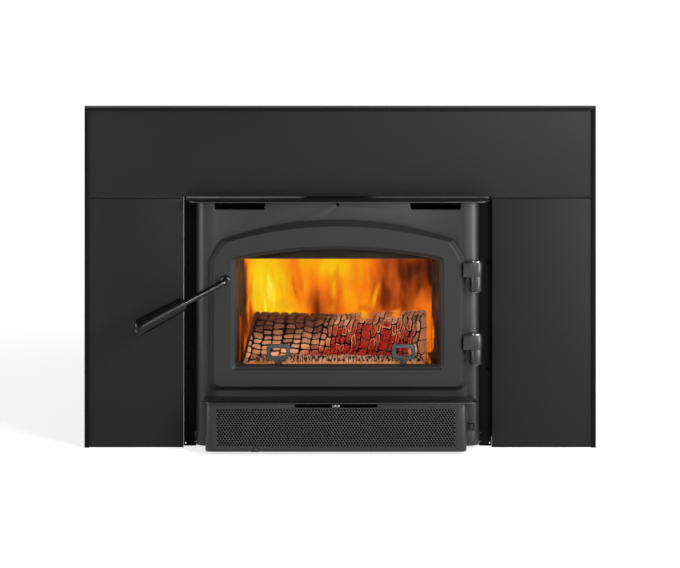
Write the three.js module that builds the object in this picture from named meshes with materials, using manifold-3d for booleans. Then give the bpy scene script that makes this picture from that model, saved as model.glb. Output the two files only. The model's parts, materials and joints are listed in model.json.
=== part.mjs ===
// Wood-burning fireplace insert with an arched door, a fan under its ash ledge and a trimmed surround.
// Millimetres. +X is the viewer's right, -Y is towards the room and +Z is up from the hearth.
// While it is being built, y = 0 is the front of the surround panels; "out" means towards the room.

import * as THREE from 'three';
import { mergeVertices } from 'three/addons/utils/BufferGeometryUtils.js';
import Module from 'manifold-3d';

const wasm = await Module();
wasm.setup();

// ---------------------------------------------------------------- driving dimensions

// Fits
const SEAT_GAP = 0.3; // between a piece and what it seats on
const PIN_CLEARANCE = 0.4; // radial, round pins and shafts
const CUT_OVERRUN = 2; // how far a cutting shape runs past the faces it cuts

// Sheets and plates
const SHEET = 1.6;
const PLATE = 5;
const SKIN_THICKNESS = 4;

// Surround
const SURROUND_WIDTH = 1023;
const SURROUND_HEIGHT = 695;
const PANEL_RETURN = 20; // depth of the folded edges
const PANEL_BEND = 3; // outside radius of the folds
const PANEL_SEAM = 1.8; // gap over the top ledge
const SIDE_PANEL_DROP = 1; // side panels end this far under the ledge's top
const OPENING_MARGIN = 25.5; // between the body's side and a side panel
const TRIM_SIDE_FACE = 9.5;
const TRIM_TOP_FACE = 7;
const TRIM_SHEET = 1.5;
const TRIM_LIP = 6;

// Side flanges between panels and body
const FLANGE_SETBACK = 14;
const FLANGE_LEG = 36;
const FLANGE_LIP = 13; // inward fold at the leg's rear, behind the slots
const FLANGE_FOOT = 1; // height of the flange's foot over the hearth
const FLANGE_SLOT = { width: 2, height: 5, pitch: 13, inset: 3.7 };
const FLANGE_HOLE = { width: 8, height: 13, inset: 7.5, lower: 163, upper: 378 };
const CLIP_POCKET = { depth: 6, wall: 1.5 }; // pressed pocket behind each square hole
const FLANGE_NOTCH = { width: 4, height: 22 };

// Body
const BODY_OFFSET = -5; // the body sits this far from the surround's middle
const BODY_RISE = 8.5; // base over the hearth
const BODY_OUT = 24; // face of the skin, in front of the surround
const SKIN_CORNER = 21;
const SKIN_RETURN = 20; // how far the skin's sides run behind the surround's front
const DOOR_SIDE_MARGIN = 25.9; // from the door's edge to the side of the body
const CONVECTION_SPACE = 50.2; // over the firebox's top plate

// Door
const DOOR_WIDTH = 513.2;
const DOOR_HEIGHT = 346.8;
const DOOR_OVER_LEDGE = 13.8;
const DOOR_STANDOFF = 2;
const DOOR_EDGE = 3;
const DOOR_THICKNESS = 16;
const DOOR_BEVEL = 9.8;
const DOOR_ARCH_RADIUS = 684;
const DOOR_FACE_ARCH_RADIUS = 781;
const DOOR_FOOT_RADIUS = 18;
const DOOR_SHOULDER = { run: 25.3, drop: 40.9, roundness: 0.12 };
const DOOR_STILE = 43.6; // side bands, from the outer edge to the window
const DOOR_TOP_RAIL = 50;
const DOOR_BOTTOM_RAIL = 42.8;
const WINDOW_ARCH_RADIUS = 991;
const WINDOW_BEVEL = 10.4;
const WINDOW_FOOT_RADIUS = 9;
const WINDOW_SHOULDER = { run: 10, drop: 12, roundness: 1 };
const FOOT_STEPS = 3;
const SHOULDER_STEPS = 3;
const ARCH_STEPS = 6; // on each half of the arch

// Seals and glass, as shares of the band from the door's edge to its window
const GROOVE = { outer: 0.26, inner: 0.44, depth: 8 };
const ROPE_INSET = 0.015;
const OPENING_SHARE = 0.5;
const GLASS_THICKNESS = 5;
const GASKET_THICKNESS = 1.2;
const RETAINER_THICKNESS = 3;
// and as shares of the window's bevel, outwards
const GLASS_REACH = 0.66;
const GASKET_INNER = 0.1;
const RETAINER = { inner: 0.19, step: 0.71, outer: 1.12 };

// Hinges
const HINGE_INSET = 5.9; // pin axis from the side of the body
const HINGE_STANDOFF = 10; // pin axis from the face of the body
const LUG_RADIUS = 13;
const LUG_HEIGHT = 29;
const LUG_REACH = 25.4; // from the pin axis to the lug's end on the door
const KNUCKLE_RADIUS = 11.8;
const KNUCKLE_HEIGHT = 31;
const PIN_RADIUS = 5;
const PIN_HEAD = { radius: 9.5, height: 2.5 };
const PIN_TAIL = 3;
const UPPER_HINGE_DROP = 83.5; // from the door's apex to the top of the upper lug
const LOWER_HINGE_RISE = 85.6; // from the door's foot to the bottom of the lower lug
const HINGE_FOOT = { left: 9, right: 4, depth: 26 };

// Handle and latch
const HANDLE_INSET = 31.6; // shaft axis from the door's left edge
const HANDLE_HEIGHT = 227.2; // shaft axis over the door's foot
const ROD_RADIUS = 6.35;
const ROD_COLLAR = { radius: 8.5, length: 5 };
const ROD_ELBOW = 14; // from the door's face to the rod's elbow
const ROD_BEND = 9;
const ROD_REACH = 94.8; // elbow to grip
const ROD_IN_GRIP = 20;
const GRIP_LENGTH = 111.7;
const GRIP_RADIUS = { start: 14, end: 16.6 };
const HANDLE_DROOP = 25.3; // degrees under level
const HANDLE_LEAN = 16; // degrees out towards the room
const CAM = { hub: 8.2, nose: 28, width: 13, thickness: 8, standoff: 13.5 };

// Top ledge and hot-air slots
const LEDGE_OVERHANG = 12;
const LEDGE_SIDE_OVERHANG = 19.8;
const LEDGE_THICKNESS = 3;
const LEDGE_CORNER = 21;
const LEDGE_BACK = 40;
const HOT_SLOT = { width: 104, height: 15.8, inset: 86.5, slant: 2.6 }; // inset of its middle from the side
const LEDGE_SCREW_RADIUS = 3.4;
const LEDGE_SCREW_DROP = 5.5;

// Lower ledge, fan cover and grille
const LOWER_LEDGE_HEIGHT = 110; // its top over the hearth
const LOWER_LEDGE_DEPTH = 62.5;
const LOWER_LEDGE_CORNER = 18;
const LOWER_LEDGE_SIDE = { left: 4, right: 22, leftTaper: 3, rightTaper: 10 };
const COVER_INSET = 21.2; // each side, from the side of the body
const COVER_OFFSET = -3.5; // from the body's middle
const COVER_DEPTH = 57.7;
const COVER_CORNER = 12;
const CORD_NOTCH = { radius: 6, offset: -162.5 };
const GRILLE = { margin: 22, foot: 11.6, head: 11.3 };
const GRILLE_HOLE = { radius: 4.3, pitch: 15, row: 12, sides: 6 };
const CONTROL_TRAVEL = 70; // each way from the middle
const DRAUGHT_SLOT = { width: 2 * CONTROL_TRAVEL + 25.6, height: 7.9 };

// Air control
const CONTROL_ROD_RADIUS = 2.4;
const CONTROL_KNOB = { radius: 3.3, waist: 2.3, length: 14.5 };
const DAMPER = { width: 116, depth: 60, thickness: 3 };
const INTAKE = { width: 92, depth: 44, wall: 5 };

// Fan
const SHELF = { width: 420, drop: 10 };
const MOTOR = { radius: 21, length: 70 };
const IMPELLER = { radius: 21, length: 92, blades: 14, blade: 5, disc: 2.5, gap: 5 };
const MOTOR_SHAFT_RADIUS = 3;
const FAN_DEPTH = 28; // axis in front of the skin
const FAN_HEIGHT = 48; // axis over the hearth
const FAN_WINDOW = { width: 380, height: 56 };

// Fan switch
const SWITCH = { width: 16, height: 18.6, flange: 2, depth: 16, inset: 16.2, middle: 48.8 };
const ROCKER = { width: 10, height: 12.5, proud: 2.4 };

// Firebox
const FIREBOX_SIDE_SPACE = 37.5; // from the body's side to the firebox wall at the front
const FIREBOX_TAPER = 45; // each side, front to back
const FIREBOX_DEPTH = 355;
const FLOOR_OVER_LEDGE = 17; // floor plate's top over the lower ledge
const APEX_OVER_FIREBOX = 18.6; // door's apex over the top plate's underside
const BRICK = 28;
const BRICK_HEIGHT = 256;
const BRICK_SETBACK = 20; // side linings start this far behind the floor's front
const BRICK_JOINT = { width: 3, depth: 2 };
const TUBE = { radius: 9.5, bore: 7.5, count: 3, first: 88, pitch: 84, sides: 12 };
const AIR_HOLE = { radius: 2.2, pitch: 72 };
const BAFFLE_THICKNESS = 20;
const TUBE_OVER_BRICK = 8;
const DEFLECTOR = { setback: 11.7, lean: 4, height: 63, hem: 8, slope: 9 };
const COLLAR_GAP = 2; // round the flue collar, where it leaves the casing
const FLUE = { radius: 76, wall: 3, rise: 88, flange: 14, flangeThickness: 4, back: 215 };

// Fire
const ANDIRON = { width: 47, height: 33, bar: 8, stem: 14, thickness: 5, clip: 9, standoff: 11 };
const ANDIRON_OFFSET = { left: -118.7, right: 131.6 }; // from the middle of the fire
const ANDIRON_LOOP_RISE = 25; // loop's foot over the brick floor
const LOG = { inset: 62,  radius: 52, offset: -5.4, back: 82 };

// Casing and base
const CASING_GAP = 12;
const BASE_THICKNESS = 3;
const LEVELLER = { radius: 4, foot: 9, footHeight: 3, height: 28, nut: 7, nutHeight: 6, ear: 13 };
const LEVELLER_FRONT = { back: 34, side: 2.5 };
const LEVELLER_REAR = 300;

// ---------------------------------------------------------------- materials

const finish = (color, roughness, metalness, extra = {}) =>
  new THREE.MeshStandardMaterial({ color, roughness, metalness, ...extra });

const blackPaint = finish(0x2b2b2b, 0.6, 0.2);
const castPaint = finish(0x383838, 0.7, 0.2);
const trimPaint = finish(0x1a1a1a, 0.5, 0.2);
const gloss = finish(0x101010, 0.2, 0.1);
const steel = finish(0x9a9a98, 0.35, 0.9);
const rawSteel = finish(0x55524e, 0.6, 0.7);
const galvanised = finish(0x8d9092, 0.45, 0.8);
const firebrick = finish(0xb79a76, 0.95, 0);
const boardFibre = finish(0xd8d2c4, 1, 0);
const ironGrey = finish(0x3c4042, 0.8, 0.4);
const char = finish(0x6b4a33, 1, 0);
const ceramicGlass = finish(0x2a1b10, 0.05, 0, { transparent: true, opacity: 0.3 });
const fibre = finish(0x4a4844, 1, 0);
const plastic = finish(0x141414, 0.4, 0);

// ---------------------------------------------------------------- solid helpers

function signedVolume(positions, triangles) {
  const [a, b, c] = [new THREE.Vector3(), new THREE.Vector3(), new THREE.Vector3()];
  let volume = 0;
  for (let i = 0; i < triangles.length; i += 3) {
    a.fromArray(positions, 3 * triangles[i]);
    b.fromArray(positions, 3 * triangles[i + 1]);
    c.fromArray(positions, 3 * triangles[i + 2]);
    volume += a.dot(b.cross(c)) / 6;
  }
  return volume;
}

function weld(geometry) {
  const bare = geometry.clone();
  for (const name of ['normal', 'uv']) bare.deleteAttribute(name);
  const merged = mergeVertices(bare, 1e-4);
  const index = merged.index.array;
  const kept = [];
  for (let i = 0; i < index.length; i += 3) {
    const [a, b, c] = [index[i], index[i + 1], index[i + 2]];
    if (a !== b && b !== c && c !== a) kept.push(a, b, c);
  }
  if (signedVolume(merged.attributes.position.array, kept) < 0) kept.reverse();
  merged.setIndex(kept);
  return merged;
}

function toManifold(geometry) {
  const welded = weld(geometry);
  return new wasm.Manifold(new wasm.Mesh({
    numProp: 3,
    vertProperties: new Float32Array(welded.attributes.position.array),
    triVerts: new Uint32Array(welded.index.array),
  }));
}

function toGeometry(manifold) {
  const mesh = manifold.getMesh();
  const geometry = new THREE.BufferGeometry();
  geometry.setAttribute('position', new THREE.BufferAttribute(mesh.vertProperties, 3));
  geometry.setIndex(new THREE.BufferAttribute(mesh.triVerts, 1));
  return geometry;
}

const join = (...shapes) => toGeometry(shapes.map(toManifold).reduce((a, b) => a.add(b)));
const cut = (shape, ...tools) => toGeometry(
  tools.map(toManifold).reduce((a, b) => a.subtract(b), toManifold(shape)),
);

const point = (x, y) => new THREE.Vector2(x, y);

function arc(x, y, radius, fromDegrees, toDegrees, steps) {
  return Array.from({ length: steps + 1 }, (_, i) => {
    const angle = THREE.MathUtils.degToRad(fromDegrees + ((toDegrees - fromDegrees) * i) / steps);
    return point(x + radius * Math.cos(angle), y + radius * Math.sin(angle));
  });
}

const circle = (x, y, radius, sides) => arc(x, y, radius, 0, 360, sides).slice(0, sides);

const rectangle = (x0, x1, y0, y1) => [point(x0, y0), point(x1, y0), point(x1, y1), point(x0, y1)];

// A straight extrusion. The outline is (y, z) along 'x', (x, z) along 'y' and (x, y) along 'z'.
function prism(outline, axis, from, to, holes = []) {
  const shape = new THREE.Shape(outline);
  shape.holes = holes.map((hole) => new THREE.Path(hole));
  const geometry = new THREE.ExtrudeGeometry(shape, { depth: to - from, bevelEnabled: false });
  if (axis === 'z') return geometry.translate(0, 0, from);
  if (axis === 'y') return geometry.rotateX(Math.PI / 2).translate(0, to, 0);
  const turn = new THREE.Matrix4().makeBasis(
    new THREE.Vector3(0, 1, 0),
    new THREE.Vector3(0, 0, 1),
    new THREE.Vector3(1, 0, 0),
  );
  return geometry.applyMatrix4(turn).translate(from, 0, 0);
}

const box = (x0, x1, y0, y1, z0, z1) => prism(rectangle(x0, x1, y0, y1), 'z', z0, z1);

// The two axes in which a ring of points spreads most, for filling it.
function flatten(ring) {
  const size = new THREE.Box3().setFromPoints(ring).getSize(new THREE.Vector3());
  const [u, v] = ['x', 'y', 'z'].sort((a, b) => size[b] - size[a]);
  return ring.map((p) => point(p[u], p[v]));
}

// A skin through rings of equal count: either closed on itself or filled at both ends.
function loft(rings, closed = false) {
  const count = rings[0].length;
  const positions = rings.flat().flatMap((p) => [p.x, p.y, p.z]);
  const triangles = [];
  const bands = closed ? rings.length : rings.length - 1;
  for (let r = 0; r < bands; r += 1) {
    const here = r * count;
    const next = ((r + 1) % rings.length) * count;
    for (let i = 0; i < count; i += 1) {
      const j = (i + 1) % count;
      triangles.push(here + i, here + j, next + j, here + i, next + j, next + i);
    }
  }
  if (!closed) {
    for (const end of [0, rings.length - 1]) {
      const faces = THREE.ShapeUtils.triangulateShape(flatten(rings[end]), []);
      // The bands run along the first ring forwards, so its cap has to run along it backwards.
      const forwards = faces.some(([p, q, r]) =>
        [[p, q], [q, r], [r, p]].some(([from, to]) => to === (from + 1) % count));
      for (const [p, q, r] of faces) {
        const face = forwards === (end !== 0) ? [p, q, r] : [p, r, q];
        triangles.push(...face.map((k) => end * count + k));
      }
    }
  }
  const geometry = new THREE.BufferGeometry();
  geometry.setAttribute('position', new THREE.Float32BufferAttribute(positions, 3));
  geometry.setIndex(triangles);
  return geometry;
}

const upright = (outline, out) => outline.map((p) => new THREE.Vector3(p.x, -out, p.y));
const mix = (from, to, share) => from.map((p, i) => p.clone().lerp(to[i], share));

// A round tube through straight runs, mitred where they meet.
function tube(path, radius, sides) {
  const rings = path.map((at, i) => {
    const before = at.clone().sub(path[Math.max(i - 1, 0)]).normalize();
    const after = path[Math.min(i + 1, path.length - 1)].clone().sub(at).normalize();
    const along = before.clone().add(after).normalize();
    const up = new THREE.Vector3(0, 0, 1);
    const side = up.clone().cross(along).normalize();
    const lift = along.clone().cross(side);
    return circle(0, 0, radius, sides).map((p) =>
      at.clone().addScaledVector(side, p.x).addScaledVector(lift, p.y));
  });
  return loft(rings);
}

// A sheet folded to a U in plan, open at the back, with round front corners.
function bentSheet(middle, half, front, back, radius, thickness, steps) {
  const side = (inset) => [
    point(middle - half + inset, back),
    ...arc(middle - half + radius, front + radius, radius - inset, 180, 270, steps),
    ...arc(middle + half - radius, front + radius, radius - inset, 270, 360, steps),
    point(middle + half - inset, back),
  ];
  return [...side(0), ...side(thickness).reverse()];
}

const roundFront = (left, right, front, back, radius, steps) => [
  point(left, back),
  ...arc(left + radius, front + radius, radius, 180, 270, steps),
  ...arc(right - radius, front + radius, radius, 270, 360, steps),
  point(right, back),
];

// ---------------------------------------------------------------- derived places

const bodyHalf = DOOR_WIDTH / 2 + DOOR_SIDE_MARGIN;
const bodyLeft = BODY_OFFSET - bodyHalf;
const bodyRight = BODY_OFFSET + bodyHalf;
const skinBack = -BODY_OUT + SKIN_THICKNESS;

const doorFoot = LOWER_LEDGE_HEIGHT + DOOR_OVER_LEDGE;
const doorApex = doorFoot + DOOR_HEIGHT;
const doorBackOut = BODY_OUT + DOOR_STANDOFF;
const doorFaceOut = doorBackOut + DOOR_THICKNESS;

const topPlateUnder = doorApex - APEX_OVER_FIREBOX;
const skinTop = topPlateUnder + PLATE + CONVECTION_SPACE;
const ledgeUnder = skinTop + SEAT_GAP;
const ledgeTop = ledgeUnder + LEDGE_THICKNESS;
const floorTop = LOWER_LEDGE_HEIGHT + FLOOR_OVER_LEDGE;
const brickFloorTop = floorTop + SEAT_GAP + BRICK;
const baseTop = BODY_RISE + BASE_THICKNESS;

const openingLeft = bodyLeft - OPENING_MARGIN;
const openingRight = bodyRight + OPENING_MARGIN;
const sidePanelTop = ledgeTop - SIDE_PANEL_DROP;
const topPanelFoot = ledgeTop + PANEL_SEAM;

const hingeX = bodyRight - HINGE_INSET;
const hingeY = -(BODY_OUT + HINGE_STANDOFF);
const shaftX = BODY_OFFSET - DOOR_WIDTH / 2 + HANDLE_INSET;
const shaftZ = doorFoot + HANDLE_HEIGHT;

const fireboxFront = skinBack + SEAT_GAP;
const fireboxBack = fireboxFront + FIREBOX_DEPTH;
const fireboxHalfFront = bodyHalf - FIREBOX_SIDE_SPACE;
const fireboxHalf = (y) => fireboxHalfFront - (FIREBOX_TAPER * (y - fireboxFront)) / FIREBOX_DEPTH;

const coverMiddle = BODY_OFFSET + COVER_OFFSET;
const coverHalf = bodyHalf - COVER_INSET;
const coverFront = -(BODY_OUT + SEAT_GAP + COVER_DEPTH);
const ledgePlateUnder = LOWER_LEDGE_HEIGHT - LEDGE_THICKNESS;
const coverTop = ledgePlateUnder - SEAT_GAP;

// ---------------------------------------------------------------- scene graph

const insert = new THREE.Group();

function assembly(parent, x = 0, y = 0, z = 0) {
  const group = new THREE.Group();
  parent.add(group);
  const origin = parent.getWorldPosition(new THREE.Vector3());
  group.position.set(x, y, z).sub(origin);
  return group;
}

// Shapes are made where they stand, then moved into their group's own frame.
function place(group, name, geometry, material) {
  const origin = group.getWorldPosition(new THREE.Vector3());
  const mesh = new THREE.Mesh(weld(geometry), material);
  mesh.geometry.translate(-origin.x, -origin.y, -origin.z);
  mesh.geometry.computeVertexNormals();
  mesh.name = name;
  group.add(mesh);
}

const surround = assembly(insert);
const body = assembly(insert);
const firebox = assembly(body);
const fan = assembly(body);
const door = assembly(insert, hingeX, hingeY, doorFoot);
const handle = assembly(door, shaftX, -doorFaceOut, shaftZ);
const airControl = assembly(body);
const fanSwitch = assembly(body);
const fanRotor = assembly(fan, coverMiddle, -(BODY_OUT + FAN_DEPTH), FAN_HEIGHT);

// ---------------------------------------------------------------- surround

// A pan folded from sheet, open at the back, with small radii round its front.
function pan(x0, x1, z0, z1) {
  const frame = (inset, y) => rectangle(x0 + inset, x1 - inset, z0 + inset, z1 - inset)
    .map((p) => new THREE.Vector3(p.x, y, p.y));
  const bend = (radius, start) => arc(0, 0, radius, 0, 90, 2).map(
    (p) => frame(start + radius - p.x, start + radius - p.y),
  );
  return loft([
    ...bend(PANEL_BEND, 0).reverse(),
    frame(0, PANEL_RETURN),
    frame(SHEET, PANEL_RETURN),
    ...bend(PANEL_BEND - SHEET, SHEET),
  ]);
}

const trimInset = TRIM_SHEET + SEAT_GAP;
const panelLeft = -SURROUND_WIDTH / 2 + trimInset;
const panelRight = SURROUND_WIDTH / 2 - trimInset;

const topPanelHead = SURROUND_HEIGHT - trimInset;
place(surround, 'surround_top_panel', pan(panelLeft, panelRight, topPanelFoot, topPanelHead), blackPaint);
place(surround, 'surround_left_panel', pan(panelLeft, openingLeft, 0, sidePanelTop), blackPaint);
place(surround, 'surround_right_panel', pan(openingRight, panelRight, 0, sidePanelTop), blackPaint);

// A trim channel's section: u is the distance in from the surround's edge.
function trimSection(face) {
  const front = -(TRIM_SHEET + SEAT_GAP);
  const back = PANEL_RETURN + SEAT_GAP + TRIM_SHEET;
  return [
    point(0, front),
    point(face, front),
    point(face, front + TRIM_SHEET),
    point(TRIM_SHEET, front + TRIM_SHEET),
    point(TRIM_SHEET, back - TRIM_SHEET),
    point(TRIM_LIP, back - TRIM_SHEET),
    point(TRIM_LIP, back),
    point(0, back),
  ];
}

const mitre = TRIM_TOP_FACE / TRIM_SIDE_FACE;

function sideTrim(side) {
  const edge = (side * SURROUND_WIDTH) / 2;
  const section = trimSection(TRIM_SIDE_FACE);
  return loft([
    section.map((p) => new THREE.Vector3(edge - side * p.x, p.y, 0)),
    section.map((p) => new THREE.Vector3(edge - side * p.x, p.y, SURROUND_HEIGHT - p.x * mitre - SEAT_GAP)),
  ]);
}

function topTrim() {
  const section = trimSection(TRIM_TOP_FACE);
  return loft([-1, 1].map((side) => section.map((p) =>
    new THREE.Vector3(side * (SURROUND_WIDTH / 2 - p.x / mitre - SEAT_GAP), p.y, SURROUND_HEIGHT - p.x))));
}

place(surround, 'trim_top', topTrim(), trimPaint);
place(surround, 'trim_left', sideTrim(-1), trimPaint);
place(surround, 'trim_right', sideTrim(1), trimPaint);

function sideFlange(side) {
  const bodySide = BODY_OFFSET + side * (bodyHalf + SEAT_GAP);
  const panelSide = BODY_OFFSET + side * (bodyHalf + OPENING_MARGIN - SEAT_GAP);
  const leg = panelSide - side * SHEET;
  const lip = panelSide - side * FLANGE_LIP;
  const plan = [
    point(bodySide, FLANGE_SETBACK),
    point(panelSide, FLANGE_SETBACK),
    point(panelSide, FLANGE_SETBACK + FLANGE_LEG),
    point(lip, FLANGE_SETBACK + FLANGE_LEG),
    point(lip, FLANGE_SETBACK + FLANGE_LEG - SHEET),
    point(leg, FLANGE_SETBACK + FLANGE_LEG - SHEET),
    point(leg, FLANGE_SETBACK + SHEET),
    point(bodySide, FLANGE_SETBACK + SHEET),
  ];
  const top = sidePanelTop - LEDGE_THICKNESS;
  const front = FLANGE_SETBACK - CUT_OVERRUN;
  const window = (x, width, z0, z1, depth) => box(x - width / 2, x + width / 2, front, depth, z0, z1);
  const through = FLANGE_SETBACK + SHEET + CUT_OVERRUN;
  const pocketBack = FLANGE_SETBACK + SHEET + CLIP_POCKET.depth;
  const cuts = [window(bodySide, 2 * FLANGE_NOTCH.width, BODY_RISE, BODY_RISE + FLANGE_NOTCH.height, through)];
  const pockets = [];
  const holeX = panelSide - side * FLANGE_HOLE.inset;
  for (const middle of [FLANGE_HOLE.lower, FLANGE_HOLE.upper]) {
    const [low, high] = [middle - FLANGE_HOLE.height / 2, middle + FLANGE_HOLE.height / 2];
    const [near, far] = [holeX - FLANGE_HOLE.width / 2, holeX + FLANGE_HOLE.width / 2];
    const { wall } = CLIP_POCKET;
    pockets.push(box(near - wall, far + wall, FLANGE_SETBACK, pocketBack, low - wall, high + wall));
    cuts.push(window(holeX, FLANGE_HOLE.width, low, high, pocketBack - wall));
  }
  const count = Math.floor((top - FLANGE_FOOT) / FLANGE_SLOT.pitch);
  const slots = [];
  for (let i = 0; i < count; i += 1) {
    const middle = FLANGE_FOOT + (i + 0.5) * FLANGE_SLOT.pitch;
    const [low, high] = [middle - FLANGE_SLOT.height / 2, middle + FLANGE_SLOT.height / 2];
    const nearHole = [FLANGE_HOLE.lower, FLANGE_HOLE.upper].some(
      (z) => Math.abs(z - middle) < (FLANGE_HOLE.height + FLANGE_SLOT.height) / 2 + CLIP_POCKET.wall,
    );
    if (!nearHole) {
      slots.push(window(panelSide - side * FLANGE_SLOT.inset, FLANGE_SLOT.width, low, high, through));
    }
  }
  return cut(join(prism(plan, 'z', FLANGE_FOOT, top), ...pockets), ...cuts, ...slots);
}

place(surround, 'side_flange_left', sideFlange(-1), blackPaint);
place(surround, 'side_flange_right', sideFlange(1), blackPaint);

// ---------------------------------------------------------------- door outlines

// An arched frame outline seen from the room, anticlockwise from the right-hand foot.
function archedOutline({ half, foot, apex, radius, footRadius, shoulder }) {
  const archAt = (x) => apex - radius + Math.sqrt(radius ** 2 - x ** 2);
  const shoulderX = half - shoulder.run;
  const low = point(half, archAt(shoulderX) - shoulder.drop);
  const high = point(shoulderX, archAt(shoulderX));
  const middle = low.clone().lerp(high, 0.5);
  const bulge = middle.lerp(point(half, archAt(half)), shoulder.roundness);
  const right = [
    ...arc(half - footRadius, foot + footRadius, footRadius, -90, 0, FOOT_STEPS),
    ...new THREE.QuadraticBezierCurve(low, bulge, high).getPoints(SHOULDER_STEPS),
  ];
  for (let i = 1; i <= ARCH_STEPS; i += 1) {
    const x = shoulderX * (1 - i / ARCH_STEPS);
    right.push(point(x, archAt(x)));
  }
  const left = right.slice(0, -1).reverse().map((p) => point(-p.x, p.y));
  return [...right, ...left].map((p) => point(p.x + BODY_OFFSET, p.y));
}

const doorOuter = archedOutline({
  half: DOOR_WIDTH / 2,
  foot: doorFoot,
  apex: doorApex,
  radius: DOOR_ARCH_RADIUS,
  footRadius: DOOR_FOOT_RADIUS,
  shoulder: DOOR_SHOULDER,
});
const doorFace = archedOutline({
  half: DOOR_WIDTH / 2 - DOOR_BEVEL,
  foot: doorFoot + DOOR_BEVEL,
  apex: doorApex - DOOR_BEVEL,
  radius: DOOR_FACE_ARCH_RADIUS,
  footRadius: DOOR_FOOT_RADIUS - DOOR_BEVEL / 2,
  shoulder: DOOR_SHOULDER,
});
const windowHalf = DOOR_WIDTH / 2 - DOOR_STILE;
const windowFace = archedOutline({
  half: windowHalf,
  foot: doorFoot + DOOR_BOTTOM_RAIL,
  apex: doorApex - DOOR_TOP_RAIL,
  radius: WINDOW_ARCH_RADIUS,
  footRadius: WINDOW_FOOT_RADIUS,
  shoulder: WINDOW_SHOULDER,
});
const windowInner = archedOutline({
  half: windowHalf - WINDOW_BEVEL,
  foot: doorFoot + DOOR_BOTTOM_RAIL + WINDOW_BEVEL,
  apex: doorApex - DOOR_TOP_RAIL - WINDOW_BEVEL,
  radius: WINDOW_ARCH_RADIUS,
  footRadius: WINDOW_FOOT_RADIUS / 2,
  shoulder: WINDOW_SHOULDER,
});

// ---------------------------------------------------------------- body skin and ledges

function frontSkin() {
  const plan = bentSheet(BODY_OFFSET, bodyHalf, -BODY_OUT, SKIN_RETURN, SKIN_CORNER, SKIN_THICKNESS, 6);
  const through = (outline) => prism(outline, 'y', -BODY_OUT - CUT_OVERRUN, skinBack + CUT_OVERRUN);
  const hotSlot = (side) => {
    const middle = BODY_OFFSET + side * (bodyHalf - HOT_SLOT.inset);
    const half = HOT_SLOT.width / 2;
    const floor = skinTop - HOT_SLOT.height;
    return through([
      point(middle - half + HOT_SLOT.slant, floor),
      point(middle + half - HOT_SLOT.slant, floor),
      point(middle + half, skinTop + CUT_OVERRUN),
      point(middle - half, skinTop + CUT_OVERRUN),
    ]);
  };
  const fanZ = FAN_HEIGHT - FAN_WINDOW.height / 2;
  return cut(
    prism(plan, 'z', BODY_RISE, skinTop),
    through(mix(doorOuter, windowFace, OPENING_SHARE)),
    hotSlot(-1),
    hotSlot(1),
    through(circle(BODY_OFFSET, skinTop - LEDGE_SCREW_DROP, LEDGE_SCREW_RADIUS, 8)),
    through(rectangle(
      coverMiddle - FAN_WINDOW.width / 2,
      coverMiddle + FAN_WINDOW.width / 2,
      fanZ,
      fanZ + FAN_WINDOW.height,
    )),
    through(rectangle(
      coverMiddle - DRAUGHT_SLOT.width / 2,
      coverMiddle + DRAUGHT_SLOT.width / 2,
      coverTop - DRAUGHT_SLOT.height,
      coverTop,
    )),
    box(
      switchLeft + SWITCH.flange, switchRight - SWITCH.flange,
      -BODY_OUT - CUT_OVERRUN, 0,
      switchFoot + SWITCH.flange, switchHead - SWITCH.flange,
    ),
  );
}

const switchMiddle = bodyRight - SWITCH.inset;
const switchLeft = switchMiddle - SWITCH.width / 2;
const switchRight = switchMiddle + SWITCH.width / 2;
const switchFoot = SWITCH.middle - SWITCH.height / 2;
const switchHead = SWITCH.middle + SWITCH.height / 2;

place(body, 'front_skin', frontSkin(), castPaint);

place(body, 'top_ledge', prism(
  roundFront(
    bodyLeft - LEDGE_SIDE_OVERHANG,
    bodyRight + LEDGE_SIDE_OVERHANG,
    -(BODY_OUT + LEDGE_OVERHANG),
    LEDGE_BACK,
    LEDGE_CORNER,
    6,
  ),
  'z', ledgeUnder, ledgeTop,
), castPaint);

function lowerLedge() {
  const back = -(BODY_OUT + SEAT_GAP);
  const front = back - LOWER_LEDGE_DEPTH;
  const left = coverMiddle - coverHalf - LOWER_LEDGE_SIDE.left;
  const right = coverMiddle + coverHalf + LOWER_LEDGE_SIDE.right;
  const radius = LOWER_LEDGE_CORNER;
  return prism([
    point(left + LOWER_LEDGE_SIDE.leftTaper, back),
    ...arc(left + radius, front + radius, radius, 180, 270, 4),
    ...arc(right - radius, front + radius, radius, 270, 360, 4),
    point(right - LOWER_LEDGE_SIDE.rightTaper, back),
  ], 'z', ledgePlateUnder, LOWER_LEDGE_HEIGHT);
}

place(body, 'lower_ledge', lowerLedge(), castPaint);

// ---------------------------------------------------------------- firebox

// A strip beside the firebox wall: offsets are measured out from its outer face.
function wallStrip(side, outerOffset, innerOffset, y0, y1) {
  const x = (y, offset) => BODY_OFFSET + side * (fireboxHalf(y) + offset);
  return [
    point(x(y0, outerOffset), y0),
    point(x(y1, outerOffset), y1),
    point(x(y1, innerOffset), y1),
    point(x(y0, innerOffset), y0),
  ];
}

// A plate between the two sides of the firebox, or over them.
function crossPlate(offset, y0, y1) {
  const x = (side, y) => BODY_OFFSET + side * (fireboxHalf(y) + offset);
  return [point(x(-1, y0), y0), point(x(1, y0), y0), point(x(1, y1), y1), point(x(-1, y1), y1)];
}

const insideWall = -(PLATE + SEAT_GAP);
const insideBrick = insideWall - BRICK;
const backWallFront = fireboxBack - PLATE;

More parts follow.
